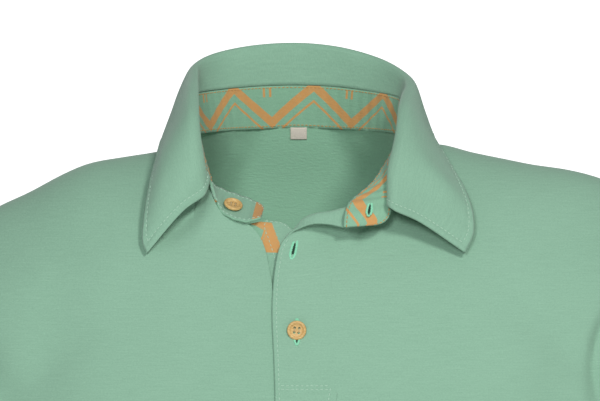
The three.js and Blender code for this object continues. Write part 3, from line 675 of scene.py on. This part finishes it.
def panel_grid(tops, top_z, face):
    rows = np.arange((len(LOW_ROWS) + TOP_ROWS - 1) * FINER + 1) / FINER
    low = len(LOW_ROWS) - 1
    x_top, row = np.meshgrid(tops, rows, indexing="ij")
    below = np.interp(row, np.arange(len(LOW_ROWS)), LOW_ROWS)
    share = np.clip((row - low) / TOP_ROWS, 0, 1)
    above = mix(SLIT_FOOT_Z, top_z[:, None], np.sin(share * math.pi / 2))
    z = np.where(row > low, above, below)
    side = np.sign(x_top)
    x = x_top + side * (edge_x(z, side) - TIP_X) * np.abs(x_top / TIP_X) ** 4
    sign = -1 if face == "front" else 1
    y = body_y(x, z, face, fine=True) + sign * PANEL_GAP
    to_seam = edge_x(z, side) - np.abs(x)
    sewn = np.exp(-((to_seam / 2.5) ** 2)) * ease((z - ARMPIT_Z - 6) / 10)
    hem = HEM_STEP * ease((HEM_Z + HEM_DEPTH - z) / 2.5)
    away = np.clip(np.abs(y - SHOULDER_LINE_Y) / 12, 0, 1)
    y = y - sign * (SEAM_DIP * sewn - hem) * away
    return np.stack([x, y, z], axis=2)


def front_body():
    shoulder = np.array(SHOULDER_COLUMNS, float)
    left = [*(-shoulder[::-1]), *(-x for x in FRONT_LEFT_COLUMNS)]
    tops = refined([*left, 3, *FRONT_RIGHT_COLUMNS, *shoulder], FINER)
    grid = panel_grid(tops, panel_top(tops, NECK_FRONT_LEFT, NECK_FRONT_RIGHT), "front")
    keep = np.ones((len(tops) - 1, grid.shape[1] - 1), bool)
    slit = slice((len(left) - 1) * FINER, (len(left) + 1) * FINER)
    keep[slit, (len(LOW_ROWS) - 1) * FINER :] = False
    piece = shell("front_body_cloth", grid, BODY_WALL, [CLOTH, INSIDE_PAINTED_LIGHT], keep,
                  replaced=["front_body"], uv=grid[..., [0, 2]])
    return grid


def back_body():
    half = [*BACK_COLUMNS, *SHOULDER_COLUMNS]
    tops = refined([*half[:0:-1], *(-x for x in half)], FINER)
    grid = panel_grid(tops, panel_top(tops, NECK_BACK, NECK_BACK), "back")
    piece = shell("back_body_cloth", grid, BODY_WALL, [CLOTH, INSIDE_PAINTED_LIGHT],
                  replaced=["back_body"], uv=grid[..., [0, 2]])
    return grid


# Sleeves
SLEEVE_AROUND = 120
SLEEVE_ALONG = 66
CUFF_HEM = 20.0
CROWN_STEP = 0.15 * ARMHOLE_GAP
SIDE_STEP = 0.1 * ARMHOLE_GAP
UNDERARM_STEP = 0.5 * ARMHOLE_GAP
UNDERARM_WIDEN = 0.04
CAP_FULLEST = 0.75
SLEEVE_FOLD = 2.2
SLEEVE_SEAM_RUN = 190

# Sleeve creases: turn and share along at the start, then at the end, half width, depth
SLEEVE_CREASES = [
    (0.30, 0.02, 0.16, 0.75, 0.020, 2.6), (0.38, 0.05, 0.27, 0.95, 0.018, 2.0),
    (0.71, 0.02, 0.84, 0.70, 0.020, 2.4), (0.62, 0.06, 0.74, 0.92, 0.018, 2.2),
    (0.08, 0.30, 0.11, 1.00, 0.022, 1.6), (0.93, 0.25, 0.90, 1.00, 0.024, 1.5),
    (0.47, 0.05, 0.44, 0.90, 0.016, 1.8), (0.54, 0.02, 0.57, 0.80, 0.016, 1.6),
]


def armhole_ring(side, turn):
    tip_z = SHOULDER[-1][1] if side < 0 else SHOULDER[-1][2]
    angle = turn * TURN
    z = mix(tip_z, ARMPIT_Z, (1 - np.cos(angle)) / 2)
    x = side * edge_x(z, side)
    y = np.where(turn <= 0.5, body_y(x, z, "front", True), body_y(x, z, "back", True))
    return np.stack([x, y, z], axis=-1)


def sleeve(side, name):
    run, rise = math.sin(SLEEVE_ANGLE), math.cos(SLEEVE_ANGLE)
    along, across = np.array([side * run, 0, -rise]), np.array([side * rise, 0, run])
    turns = np.arange(SLEEVE_AROUND) / SLEEVE_AROUND
    if side < 0:
        turns = (1 - turns) % 1.0
    angle = turns * TURN
    low = (1 - np.cos(angle)) / 2
    start = armhole_ring(side, turns)
    tip = armhole_ring(side, np.array([0.0]))[0]
    start = start + along * (CROWN_STEP * (1 - low))[:, None]
    start[:, 0] += side * (SIDE_STEP + UNDERARM_STEP * low)
    start[:, 1] += (start[:, 1] - SHOULDER_LINE_Y) * UNDERARM_WIDEN * low
    centre = tip + along * SLEEVE_LENGTH - across * CUFF_HALF_HEIGHT
    end = centre + across * (CUFF_HALF_HEIGHT * np.cos(angle))[:, None]
    end[:, 1] -= CUFF_HALF_DEPTH * np.sin(angle)
    t = np.linspace(0, 1, SLEEVE_ALONG) ** 0.94
    grid = mix(start[:, None], end[:, None], t[None, :, None])
    crown = (0.55 + 0.45 * np.cos(angle))[:, None]
    swell = np.sin(math.pi * t**CAP_FULLEST)[None] * CAP_BULGE * crown
    grid = grid + across * swell[..., None]
    fold = np.sin(angle * 3 + 1.1)[:, None] * SLEEVE_FOLD * np.sin(math.pi * t)[None]
    grid[..., 1] -= fold * np.sin(angle)[:, None]
    outward = grid_normals(grid, wrap=True)
    depth = np.zeros(grid.shape[:2])
    for turn0, t0, turn1, t1, width, deep in SLEEVE_CREASES:
        run = (t[None] - t0) / (t1 - t0)
        off = (turns[:, None] - mix(turn0, turn1, np.clip(run, 0, 1)) + 0.5) % 1 - 0.5
        fade = ease((run + 0.1) / 0.3) * ease((1.1 - run) / 0.5)
        depth += deep * fade * np.exp(-((off / width) ** 2))
    depth += HEM_STEP * np.exp(-((t[None] * SLEEVE_SEAM_RUN / 3) ** 2))
    depth -= HEM_STEP * ease((t[None] - (1 - CUFF_HEM / SLEEVE_LENGTH)) * 60)
    grid = grid - outward * depth[..., None]
    piece = shell(name + "_cloth", grid, BODY_WALL, [CLOTH, INSIDE_PAINTED_LIGHT], wrap=True,
                  replaced=[name])
    return grid


# Collar
FALL_STEP = 0.3
STAND_TUCK = 0.8
STAND_GRID = (300, 18)
END_PRINT_COLUMNS = 6
COLLAR_GRID = (300, 72)
EDGE_STITCH = 4.6
PUCKER = 8.5
PUCKER_DEPTH = 0.16


def collar_stand():
    rows = np.array(STAND_ROWS, float)
    u = np.linspace(0, 1, STAND_GRID[0])
    lower, upper = smooth_path(rows[:, :3], u), smooth_path(rows[:, 3:], u)
    height = np.linalg.norm(upper - lower, axis=1)
    v = np.linspace(0, 1, STAND_GRID[1])
    share = mix((-STAND_TUCK / height)[:, None], 1.0, v[None])
    grid = mix(lower[:, None], upper[:, None], share[..., None])
    run = run_length(lower)[:, None]
    ripple = np.sin(run * TURN / PUCKER + 2 * v[None] + np.sin(run / 13))
    grid = grid + grid_normals(grid) * (1.4 * PUCKER_DEPTH * ripple)[..., None]
    corner = round_corners(grid, 5.0, 8.0)
    piece = shell("collar_stand_cloth", corner, COLLAR_WALL, [PRINT_STAND, CLOTH, FOLD_PRINT],
                  replaced=["collar_stand"])
    span = STAND_GRID[1] - 1
    start = (STAND_GRID[0] - 1) * span
    for face in piece.data.polygons[start : start + END_PRINT_COLUMNS * span]:
        face.material_index = 2
    return corner


def round_corners(grid, first, last):
    """Pulls the upper corners of a band's two ends back to quarter rounds."""
    out = grid.copy()
    n = len(grid)
    for end, step, radius in ((0, 1, first), (n - 1, -1, last)):
        length = 0.0
        i = end
        while length < radius:
            reach = 1 - length / radius
            cut = radius * (1 - math.sqrt(max(0.0, 1 - reach**2)))
            line = out[i]
            height = np.linalg.norm(line[-1] - line[0])
            share = np.linspace(0, 1, grid.shape[1]) * (1 - cut / height)
            out[i] = line[0] + (line[-1] - line[0]) * share[:, None]
            length += np.linalg.norm(grid[i + step, -1] - grid[i, -1])
            i += step
    return out


def collar_fall():
    u = np.linspace(0, 1, COLLAR_GRID[0])
    lines = [smooth_path(rows, u) for rows in
             (COLLAR_SEAM, COLLAR_ROLL, COLLAR_OVER, COLLAR_LEAF, COLLAR_EDGE)]
    foot = lines[0] + unit(lines[1] - lines[0]) * FALL_STEP
    v = np.linspace(0, 1, COLLAR_GRID[1]) ** 0.9
    grid = np.stack([smooth_path(np.stack([foot[i], *(line[i] for line in lines[1:])]), v)
                     for i in range(len(u))])
    normal = grid_normals(grid)
    to_edge = distance_to_edge(grid)
    dip = 0.35 * np.exp(-(((to_edge - EDGE_STITCH) / 0.9) ** 2))
    puff = 0.25 * np.exp(-(((to_edge - 2.2) / 1.6) ** 2))
    wave = np.sin(grid[..., 2] * 0.16 + grid[..., 0] * 0.05) * ease((to_edge - 6) / 15)
    run = run_length(grid[:, -1])
    ripple = np.sin(run * TURN / PUCKER + 1.7 * np.sin(run / 19))[:, None]
    near = np.exp(-(((to_edge - EDGE_STITCH) / 3.2) ** 2))
    grid = grid + normal * (puff - dip + 0.2 * wave + PUCKER_DEPTH * ripple * near)[..., None]
    piece = shell("collar_fall_cloth", grid, COLLAR_WALL, CLOTH,
                  replaced=["collar_fall"])
    return grid


def distance_to_edge(grid):
    """Distance in millimetres from each grid place to the collar's outer edges."""
    def along(axis, flip):
        g = np.flip(grid, axis) if flip else grid
        step = np.linalg.norm(np.diff(g, axis=axis), axis=2)
        total = np.cumsum(step, axis=axis)
        zero = np.zeros_like(np.take(total, [0], axis))
        total = np.concatenate([zero, total], axis)
        return np.flip(total, axis) if flip else total

    leaf = along(1, True)
    return np.minimum(leaf, np.minimum(along(0, False), along(0, True)))


# Plackets
def panel_through(table, columns, rows):
    u, v = np.linspace(0, 1, columns), np.linspace(0, 1, rows)
    lines = []
    for k in range(len(table[0])):
        cells = np.array([row[k] for row in table], float)
        y = body_y(cells[:, 0], cells[:, 1], "front", fine=True) - cells[:, 2]
        lines.append(smooth_path(np.stack([cells[:, 0], y, cells[:, 1]], axis=1), v))
    if len(lines) == 2:
        return mix(lines[0][None], lines[1][None], u[:, None, None])
    sections = [smooth_path(np.stack([line[j] for line in lines]), u) for j in range(rows)]
    return np.stack(sections, axis=1)


def top_placket():
    grid = panel_through(TOP_PLACKET, 40, 150)
    piece = shell("top_placket_cloth", grid, PLACKET_WALL, [CLOTH, CLOTH],
                  replaced=["top_placket"])
    return grid


# Print on the under placket: its right end at its top, that line's slope, and its foot
PRINT_END_X, PRINT_TOP_Z, PRINT_SLOPE = -18.0, -44.0, 0.38
PRINT_FOOT_Z = -66.0


def under_placket():
    grid = panel_through(UNDER_PLACKET, 60, 160)
    piece = shell("under_placket_cloth", grid, PLACKET_WALL, [PRINT_PLACKET, CLOTH],
                  replaced=["under_placket"])
    for face in piece.data.polygons:
        x, _, z = face.center / MM
        if x > PRINT_END_X + (PRINT_TOP_Z - z) * PRINT_SLOPE or z < PRINT_FOOT_Z:
            face.material_index = 1
    return grid


# Sewing
STITCH_LENGTH = 2.3
STITCH_STEP = 3.1
STITCH_RADIUS = 0.24


def inset_line(grid, distance, axis=1, from_end=True, wrap=False, face=1, lift=0.0):
    """The line on a face of a sheet at a distance from one of its edges, and its normals."""
    normal = grid_normals(grid, wrap)
    if axis == 0:
        grid, normal = grid.transpose(1, 0, 2), normal.transpose(1, 0, 2)
    if from_end:
        grid, normal = grid[:, ::-1], normal[:, ::-1]
    places, facing = [], []
    for line, turn in zip(grid, normal):
        run = run_length(line)
        places.append([np.interp(distance, run, line[:, k]) for k in range(3)])
        facing.append([np.interp(distance, run, turn[:, k]) for k in range(3)])
    facing = unit(np.array(facing)) * face
    return np.array(places) + facing * lift, facing


def resampled(line, facing, step):
    run = run_length(line)
    at = np.arange(step / 2, run[-1], step)

    def read(values, where):
        return np.stack([np.interp(where, run, values[:, k]) for k in range(3)], axis=1)

    place = read(line, at)
    return place, unit(read(line, at + 0.05) - place), read(facing, at)


def thread_bits(place, way, facing, length, radius):
    """Short thread stitches as one set of points and faces: tapered and a little domed."""
    side = unit(np.cross(way, facing))
    up = np.cross(side, way)
    ring = [(math.cos(a), math.sin(a)) for a in np.arange(5) * TURN / 5]
    points, n = [place - way * length / 2 - up * radius * 0.8], len(place)
    for share in (-0.3, 0.3):
        for c, s in ring:
            points.append(place + way * length * share + side * radius * c
                          + up * radius * (s + 0.25))
    points.append(place + way * length / 2 - up * radius * 0.8)
    points = np.stack(points, axis=1)
    faces = []
    for k in range(5):
        nxt = (k + 1) % 5
        faces += [(0, 1 + nxt, 1 + k), (1 + k, 1 + nxt, 6 + nxt), (1 + k, 6 + nxt, 6 + k),
                  (11, 6 + k, 6 + nxt)]
    faces = np.array(faces)
    index = np.arange(n)[:, None, None] * 12 + faces[None]
    return points.reshape(-1, 3), index.reshape(-1, 3)


def sew(name, lines, material=None, length=STITCH_LENGTH, step=STITCH_STEP,
        radius=STITCH_RADIUS):
    points, faces, count = [], [], 0
    for line, facing in lines:
        p, f = thread_bits(*resampled(line, facing, step), length, radius)
        points.append(p)
        faces.append(f + count)
        count += len(p)
    return make_mesh(name, np.concatenate(points) * MM, np.concatenate(faces),
                     material or TOPSTITCH)


# Buttons
BUTTON_RADIUS = 6.2
BUTTON_THICK = 2.2
BUTTON_HOLE = 0.85
BUTTON_HOLE_AT = 1.45

# Half section of a button from the middle of its face round the rim to the middle of its back:
# radius and height as shares of its radius and thickness
BUTTON_SECTION = [
    (0, 0.06), (0.30, 0.06), (0.56, 0.08), (0.66, 0.20), (0.71, 0.42), (0.76, 0.50),
    (0.86, 0.50), (0.93, 0.44), (0.98, 0.26), (1.0, 0.0), (0.97, -0.28), (0.90, -0.44),
    (0.80, -0.50), (0.40, -0.50), (0, -0.50),
]


def lathe(name, section, around):
    """A closed turned form about its own Z axis, in metres."""
    points, faces = [], []
    for radius, height in section[1:-1]:
        for k in range(around):
            a = TURN * k / around
            points.append((radius * math.cos(a), radius * math.sin(a), height))
    top, low = len(points), len(points) + 1
    points += [(0, 0, section[0][1]), (0, 0, section[-1][1])]
    for k in range(around):
        nxt = (k + 1) % around
        faces.append((top, k, nxt))
        for ring in range(len(section) - 3):
            a, b = ring * around, (ring + 1) * around
            faces.append((a + k, b + k, b + nxt, a + nxt))
        last = (len(section) - 3) * around
        faces.append((low, last + nxt, last + k))
    mesh = bpy.data.meshes.new(name)
    mesh.from_pydata((np.array(points) * MM).tolist(), [], faces)
    mesh.update()
    return mesh


def frame_of(facing, up):
    z = unit(np.array(facing, float))
    x = unit(np.cross(up, z))
    return np.stack([x, np.cross(z, x), z], axis=1)


def turned_button(name, centre, facing, up):
    section = [(r * BUTTON_RADIUS, h * BUTTON_THICK) for r, h in BUTTON_SECTION]
    disc = add_object(name + "_blank", lathe(name + "_blank", section, 72))
    reach, hole, out = BUTTON_THICK, BUTTON_HOLE, BUTTON_HOLE_AT * MM
    cutters = []
    for sx, sy in ((-1, -1), (-1, 1), (1, -1), (1, 1)):
        mesh = lathe("bore", [(0, reach), (hole, reach), (hole, -reach), (0, -reach)], 20)
        cutter = add_object("bore", mesh)
        cutter.location = (sx * out, sy * out, 0)
        cutters.append(cutter)
    for cutter in cutters:
        cut = disc.modifiers.new("bore", "BOOLEAN")
        cut.operation, cut.solver, cut.object = "DIFFERENCE", "EXACT", cutter
    bpy.context.view_layer.update()
    done = disc.evaluated_get(bpy.context.evaluated_depsgraph_get()).to_mesh()
    points = np.array([v.co[:] for v in done.vertices])
    done.calc_loop_triangles()
    faces = np.array([t.vertices[:] for t in done.loop_triangles])
    disc.to_mesh_clear()
    for one in (disc, *cutters):
        bpy.data.objects.remove(one)
    turn = frame_of(facing, up)
    piece = make_mesh(name + "_turned", points @ turn.T + centre * MM, faces, WOOD,
                      replaced=[name])
    piece.data.set_sharp_from_angle(angle=math.radians(38))
    sewn_threads(name + "_thread", centre, turn)


def sewn_threads(name, centre, turn):
    """Two pairs of thread bars over the holes and a short shank behind."""
    x, y, z = turn[:, 0], turn[:, 1], turn[:, 2]
    lines = []
    for side in (-1, 1):
        for offset in (-0.22, 0.22):
            across = x * (side * BUTTON_HOLE_AT + offset)
            steps = np.linspace(-1, 1, 9)
            rise = BUTTON_THICK * (0.06 + 0.16 * (1 - steps**4)) - 1.2 * np.abs(steps) ** 8
            line = centre + across + y * (steps * (BUTTON_HOLE_AT + 0.35))[:, None]
            lines.append(line + z * rise[:, None])
    for a in range(6):
        turned = x * math.cos(a * math.pi / 3) + y * math.sin(a * math.pi / 3)
        foot = centre + turned * 1.1 - z * (BUTTON_THICK / 2 + 1.3)
        lines.append(np.linspace(centre + turned * 1.4 - z * BUTTON_THICK * 0.3, foot, 4))
    tubes(name, lines, 0.15, BUTTON_THREAD)


def tubes(name, lines, radius, material, sides=6):
    """Closed round threads along lines given in millimetres."""
    points, faces, count = [], [], 0
    for line in lines:
        line = np.asarray(line, float)
        way = unit(np.gradient(line, axis=0))
        side = unit(np.cross(way, (0.31, 0.87, 0.38)))
        up = np.cross(side, way)
        angle = np.arange(sides) * TURN / sides
        ring = (side[:, None] * np.cos(angle)[None, :, None]
                + up[:, None] * np.sin(angle)[None, :, None]) * radius
        points += [(line[:, None] + ring).reshape(-1, 3), line[[0, -1]]]
        n = len(line)
        for i in range(n - 1):
            for k in range(sides):
                nxt = (k + 1) % sides
                a, b = count + i * sides, count + (i + 1) * sides
                faces += [(a + k, a + nxt, b + nxt), (a + k, b + nxt, b + k)]
        for k in range(sides):
            nxt = (k + 1) % sides
            end = count + n * sides
            last = count + (n - 1) * sides
            faces += [(end, count + nxt, count + k), (end + 1, last + k, last + nxt)]
        count += n * sides + 2
    return make_mesh(name, np.concatenate(points) * MM, np.array(faces), material)


def on_sheet(grid, x, z):
    """The nearest place of a sheet in the front view, with its outward normal."""
    off = np.hypot(grid[..., 0] - x, grid[..., 2] - z)
    i, j = np.unravel_index(np.argmin(off * 4 + grid[..., 1] * 0.2), off.shape)
    return grid[i, j].copy(), grid_normals(grid)[i, j]


def buttonhole(name, centre, facing, way, length, lift, opening=0.8):
    """Worked buttonhole: close stitches round a slit of painted shade, widest past its middle."""
    way = unit(way - facing * np.dot(way, facing))
    side = np.cross(way, facing)
    half = length / 2
    at = np.arange(-half, half + 0.01, 0.42)

    def gape(t):
        return opening * np.sqrt(np.clip(1 - (t / half) ** 2, 0, 1)) * (1 + 0.5 * t / half)

    wobble = 0.1 * np.sin(at * 5.3) + 0.06 * np.sin(at * 11.9)
    place, turn = [], []
    for s in (-1, 1):
        off = s * (gape(at) + 0.65) + wobble
        place.append(centre + way * at[:, None] + side * off[:, None])
        turn.append(np.repeat([side], len(at), 0))
    for end in (-1, 1):
        for across in np.arange(-0.9, 0.91, 0.45):
            reach = half + 0.9 - 0.5 * across**2
            place.append([centre + way * end * reach + side * across])
            turn.append([way])
    place, turn = np.concatenate(place), np.concatenate(turn)
    normal = np.repeat([facing], len(place), 0)
    points, faces = thread_bits(place + normal * lift, turn, normal, 1.9, 0.34)
    make_mesh(name + "_thread", points * MM, faces, MINT)
    # A thin dark sheet across the opening: painted shade in the slit
    slit_at = np.linspace(-half, half, 21)
    width = gape(slit_at) + 0.06
    top = facing * (lift + 0.05)
    rows = [centre + top + way * slit_at[:, None] + side * (s * width)[:, None]
            for s in (-1, -0.33, 0.33, 1)]
    shell(name + "_slit", np.stack(rows), 0.1, SHADOW)


# Label
LABEL_X, LABEL_WIDTH, LABEL_LOW, LABEL_HIGH = 0.4, 11.0, 8.6, 16.4
LABEL_OUT = 1.35


def size_label():
    x = np.linspace(-LABEL_WIDTH / 2, LABEL_WIDTH / 2, 24) + LABEL_X
    z = np.linspace(LABEL_LOW, LABEL_HIGH, 18)
    gx, gz = np.meshgrid(x, z, indexing="ij")
    bow = 0.25 * np.sin((gz - LABEL_LOW) / (LABEL_HIGH - LABEL_LOW) * math.pi)
    grid = np.stack([gx, body_y(gx, gz, "back", True) - LABEL_OUT - bow, gz], axis=2)
    piece = shell("size_label_tape", grid, 0.5, LABEL, replaced=["size_label"])
    lines = [inset_line(grid, 0.9, axis, end, lift=0.3) for axis, end in
             ((0, False), (0, True), (1, True))]
    sew("size_label_stitches", lines, LABEL, 1.3, 1.9, 0.14)


def part_of(line, facing, keep):
    return line[keep], facing[keep]


def collar_stitches(grid):
    """One stitched row inside the leaf's outer edge and up both front edges."""
    leaf = inset_line(grid, EDGE_STITCH, lift=COLLAR_WALL / 2)
    run = run_length(leaf[0])
    inner = (run > EDGE_STITCH) & (run < run[-1] - EDGE_STITCH)
    lines = [part_of(*leaf, inner)]
    for from_end in (False, True):
        line = inset_line(grid, EDGE_STITCH, 0, from_end, lift=COLLAR_WALL / 2)
        left = run_length(line[0][::-1])[::-1]
        lines.append(part_of(*line, left > EDGE_STITCH))
    sew("collar_fall_stitches", lines)


def stand_stitches(grid):
    """Rows on the stand's outer face just inside both of its edges."""
    lines = [inset_line(grid, 1.7, 1, end, face=-1, lift=COLLAR_WALL / 2)
             for end in (False, True)]
    sew("collar_stand_stitches", lines)
    seams = [inset_line(grid, STAND_TUCK + 1.0, 1, False, lift=COLLAR_WALL / 2),
             inset_line(grid, 1.2, 1, True, lift=COLLAR_WALL / 2)]
    sew("collar_stand_seam_stitches", seams, TAN_STITCH, step=2.7, radius=0.32)


PLACKET_STITCH = 2.6
BOX_SIDE = 5.2
BOX_TOP = (-149.7, -153.2)
BOX_LOW = (-173.2, -176.0)


def placket_stitches(grid):
    lift = PLACKET_WALL / 2
    lead = inset_line(grid, PLACKET_STITCH, 0, False, lift=lift)
    sewn = inset_line(grid, BOX_SIDE, 0, True, lift=lift)
    below_roll = (lead[0][:, 2] < -58) & (lead[0][:, 2] > BOX_LOW[1])
    in_box = (sewn[0][:, 2] > BOX_LOW[1]) & (sewn[0][:, 2] < BOX_TOP[0])
    lines = [part_of(*lead, below_roll), part_of(*sewn, in_box)]
    normal = grid_normals(grid)
    for z in (*BOX_TOP, *BOX_LOW):
        row = np.argmin(np.abs(grid[grid.shape[0] // 2, :, 2] - z))
        line = grid[:, row] + normal[:, row] * lift
        keep = (line[:, 0] > line[0, 0] + PLACKET_STITCH) & (line[:, 0] < line[-1, 0] - BOX_SIDE)
        lines.append(part_of(line, normal[:, row], keep))
    sew("top_placket_stitches", lines)


def under_stitches(grid):
    lift = PLACKET_WALL / 2
    lines = [inset_line(grid, 1.4, 0, True, lift=lift), inset_line(grid, 14.5, 0, False, lift=lift)]
    sew("under_placket_stitches", lines)


HEM_ROWS = (20.0, 22.6)


def hem_stitches(name, grid, cuff=False):
    """The two rows above a hem; a cuff's rows close on themselves."""
    lines = [inset_line(grid, distance, 1, cuff, cuff, lift=BODY_WALL / 2) for distance in HEM_ROWS]
    if cuff:
        lines = [[np.vstack([part, part[:1]]) for part in line] for line in lines]
    sew(name, lines)


# Button, its x and z, and how far it stands in front of the body
FASTENED_BUTTONS = [("button_second", -2.4, -64.0, 1.1), ("button_third", -0.8, -115.3, 4.4)]
BUTTON_TILT = (0.12, 0, 1.0)


def place_buttons(stand):
    i = round(0.077 * (STAND_GRID[0] - 1))
    j = round(0.42 * (STAND_GRID[1] - 1))
    centre = stand[i, j]
    out = -grid_normals(stand)[i, j]
    up = stand[i, j + 2] - stand[i, j - 2]
    lift = COLLAR_WALL / 2 + BUTTON_THICK / 2 + 1
    turned_button("button_stand", centre + out * lift, out, up)

    for name, x, z, out in FASTENED_BUTTONS:
        y = float(body_y(x, z, "front")) - out
        turned_button(name, np.array([x, y, z]), (0, -1, 0), BUTTON_TILT)


def place_buttonholes(stand, placket):
    for name, sheet, wall, x, z, way, length in (
        ("stand", stand, COLLAR_WALL, 45, -38.5, (-1.6, 0, -12), 9.5),
        ("second", placket, PLACKET_WALL, -2.4, -63.4, (-5.4, 0, -24), 13.6),
        ("third", placket, PLACKET_WALL, -0.8, -115.3, (-0.3, 0, -23), 14.8),
    ):
        centre, facing = on_sheet(sheet, x, z)
        buttonhole(name + "_buttonhole", centre, facing, way, length, wall / 2 + 0.1)


# Assembly
front_grid = front_body()
back_grid = back_body()
hem_stitches("front_hem_stitches", front_grid)
hem_stitches("back_hem_stitches", back_grid)
for sleeve_side, sleeve_name in ((-1, "sleeve_right"), (1, "sleeve_left")):
    hem_stitches(sleeve_name + "_stitches", sleeve(sleeve_side, sleeve_name), cuff=True)
stand_grid = collar_stand()
stand_stitches(stand_grid)
collar_stitches(collar_fall())
placket_grid = top_placket()
placket_stitches(placket_grid)
under_stitches(under_placket())
place_buttons(stand_grid)
place_buttonholes(stand_grid, placket_grid)
size_label()


# Studio
def studio_material(name, colour, glow=0.0):
    material = bpy.data.materials.new(name)
    material.use_nodes = True
    shader = material.node_tree.nodes["Principled BSDF"]
    shader.inputs["Base Color"].default_value = colour
    shader.inputs["Roughness"].default_value = 0.95
    shader.inputs["Emission Color"].default_value = colour
    shader.inputs["Emission Strength"].default_value = glow
    return material


def stage_plane(name, corners, material):
    mesh = bpy.data.meshes.new(name)
    mesh.from_pydata(corners, [], [(0, 1, 2, 3)])
    mesh.materials.append(material)
    add_object(name, mesh)


def area_light(name, location, size, watts, colour):
    lamp = bpy.data.lights.new(name, "AREA")
    lamp.shape, lamp.size, lamp.energy, lamp.color = "DISK", size, watts, colour
    item = add_object(name, lamp)
    item.location = location
    way = np.array(LIGHT_AIM) - np.array(location)
    item.rotation_euler = Vector(way.tolist()).to_track_quat("-Z", "Y").to_euler()


LIGHT_AIM = (0.0, 0.0, -0.1)
PALE = (0.9, 0.9, 0.9, 1.0)
FLOOR_Z = -0.76
stage_plane("floor", [(-8, -8, FLOOR_Z), (8, -8, FLOOR_Z), (8, 8, FLOOR_Z), (-8, 8, FLOOR_Z)],
            studio_material("floor_pale", (0.82, 0.82, 0.82, 1.0)))
stage_plane("backdrop", [(-4, 20, -3), (4, 20, -3), (4, 20, 3), (-4, 20, 3)],
            studio_material("backdrop_pale", PALE, 1.2))

area_light("key", (0.9, -2.6, 1.3), 0.5, 40.5, (1.0, 0.99, 0.97))
area_light("fill", (-0.4, -3.0, 0.55), 0.6, 33, (0.97, 0.99, 1.0))

world = bpy.data.worlds.new("studio")
world.use_nodes = True
world.node_tree.nodes["Background"].inputs["Color"].default_value = (0.95, 0.97, 1.0, 1.0)
world.node_tree.nodes["Background"].inputs["Strength"].default_value = 0.28
bpy.context.scene.world = world
bpy.context.scene.view_settings.view_transform = "Standard"

# The photograph spans this width at this distance from the camera
PHOTO_WIDTH = 0.3871
PHOTO_DISTANCE = 3.0
lens = bpy.data.cameras.new("photo_view")
lens.sensor_width = 36
lens.lens = 36 * PHOTO_DISTANCE / PHOTO_WIDTH
lens.clip_end = 60
camera = add_object("photo_view", lens)
camera.location = (0.0013, -3.06, -0.0326)
camera.rotation_euler = (math.pi / 2, 0, 0)
bpy.context.scene.camera = camera
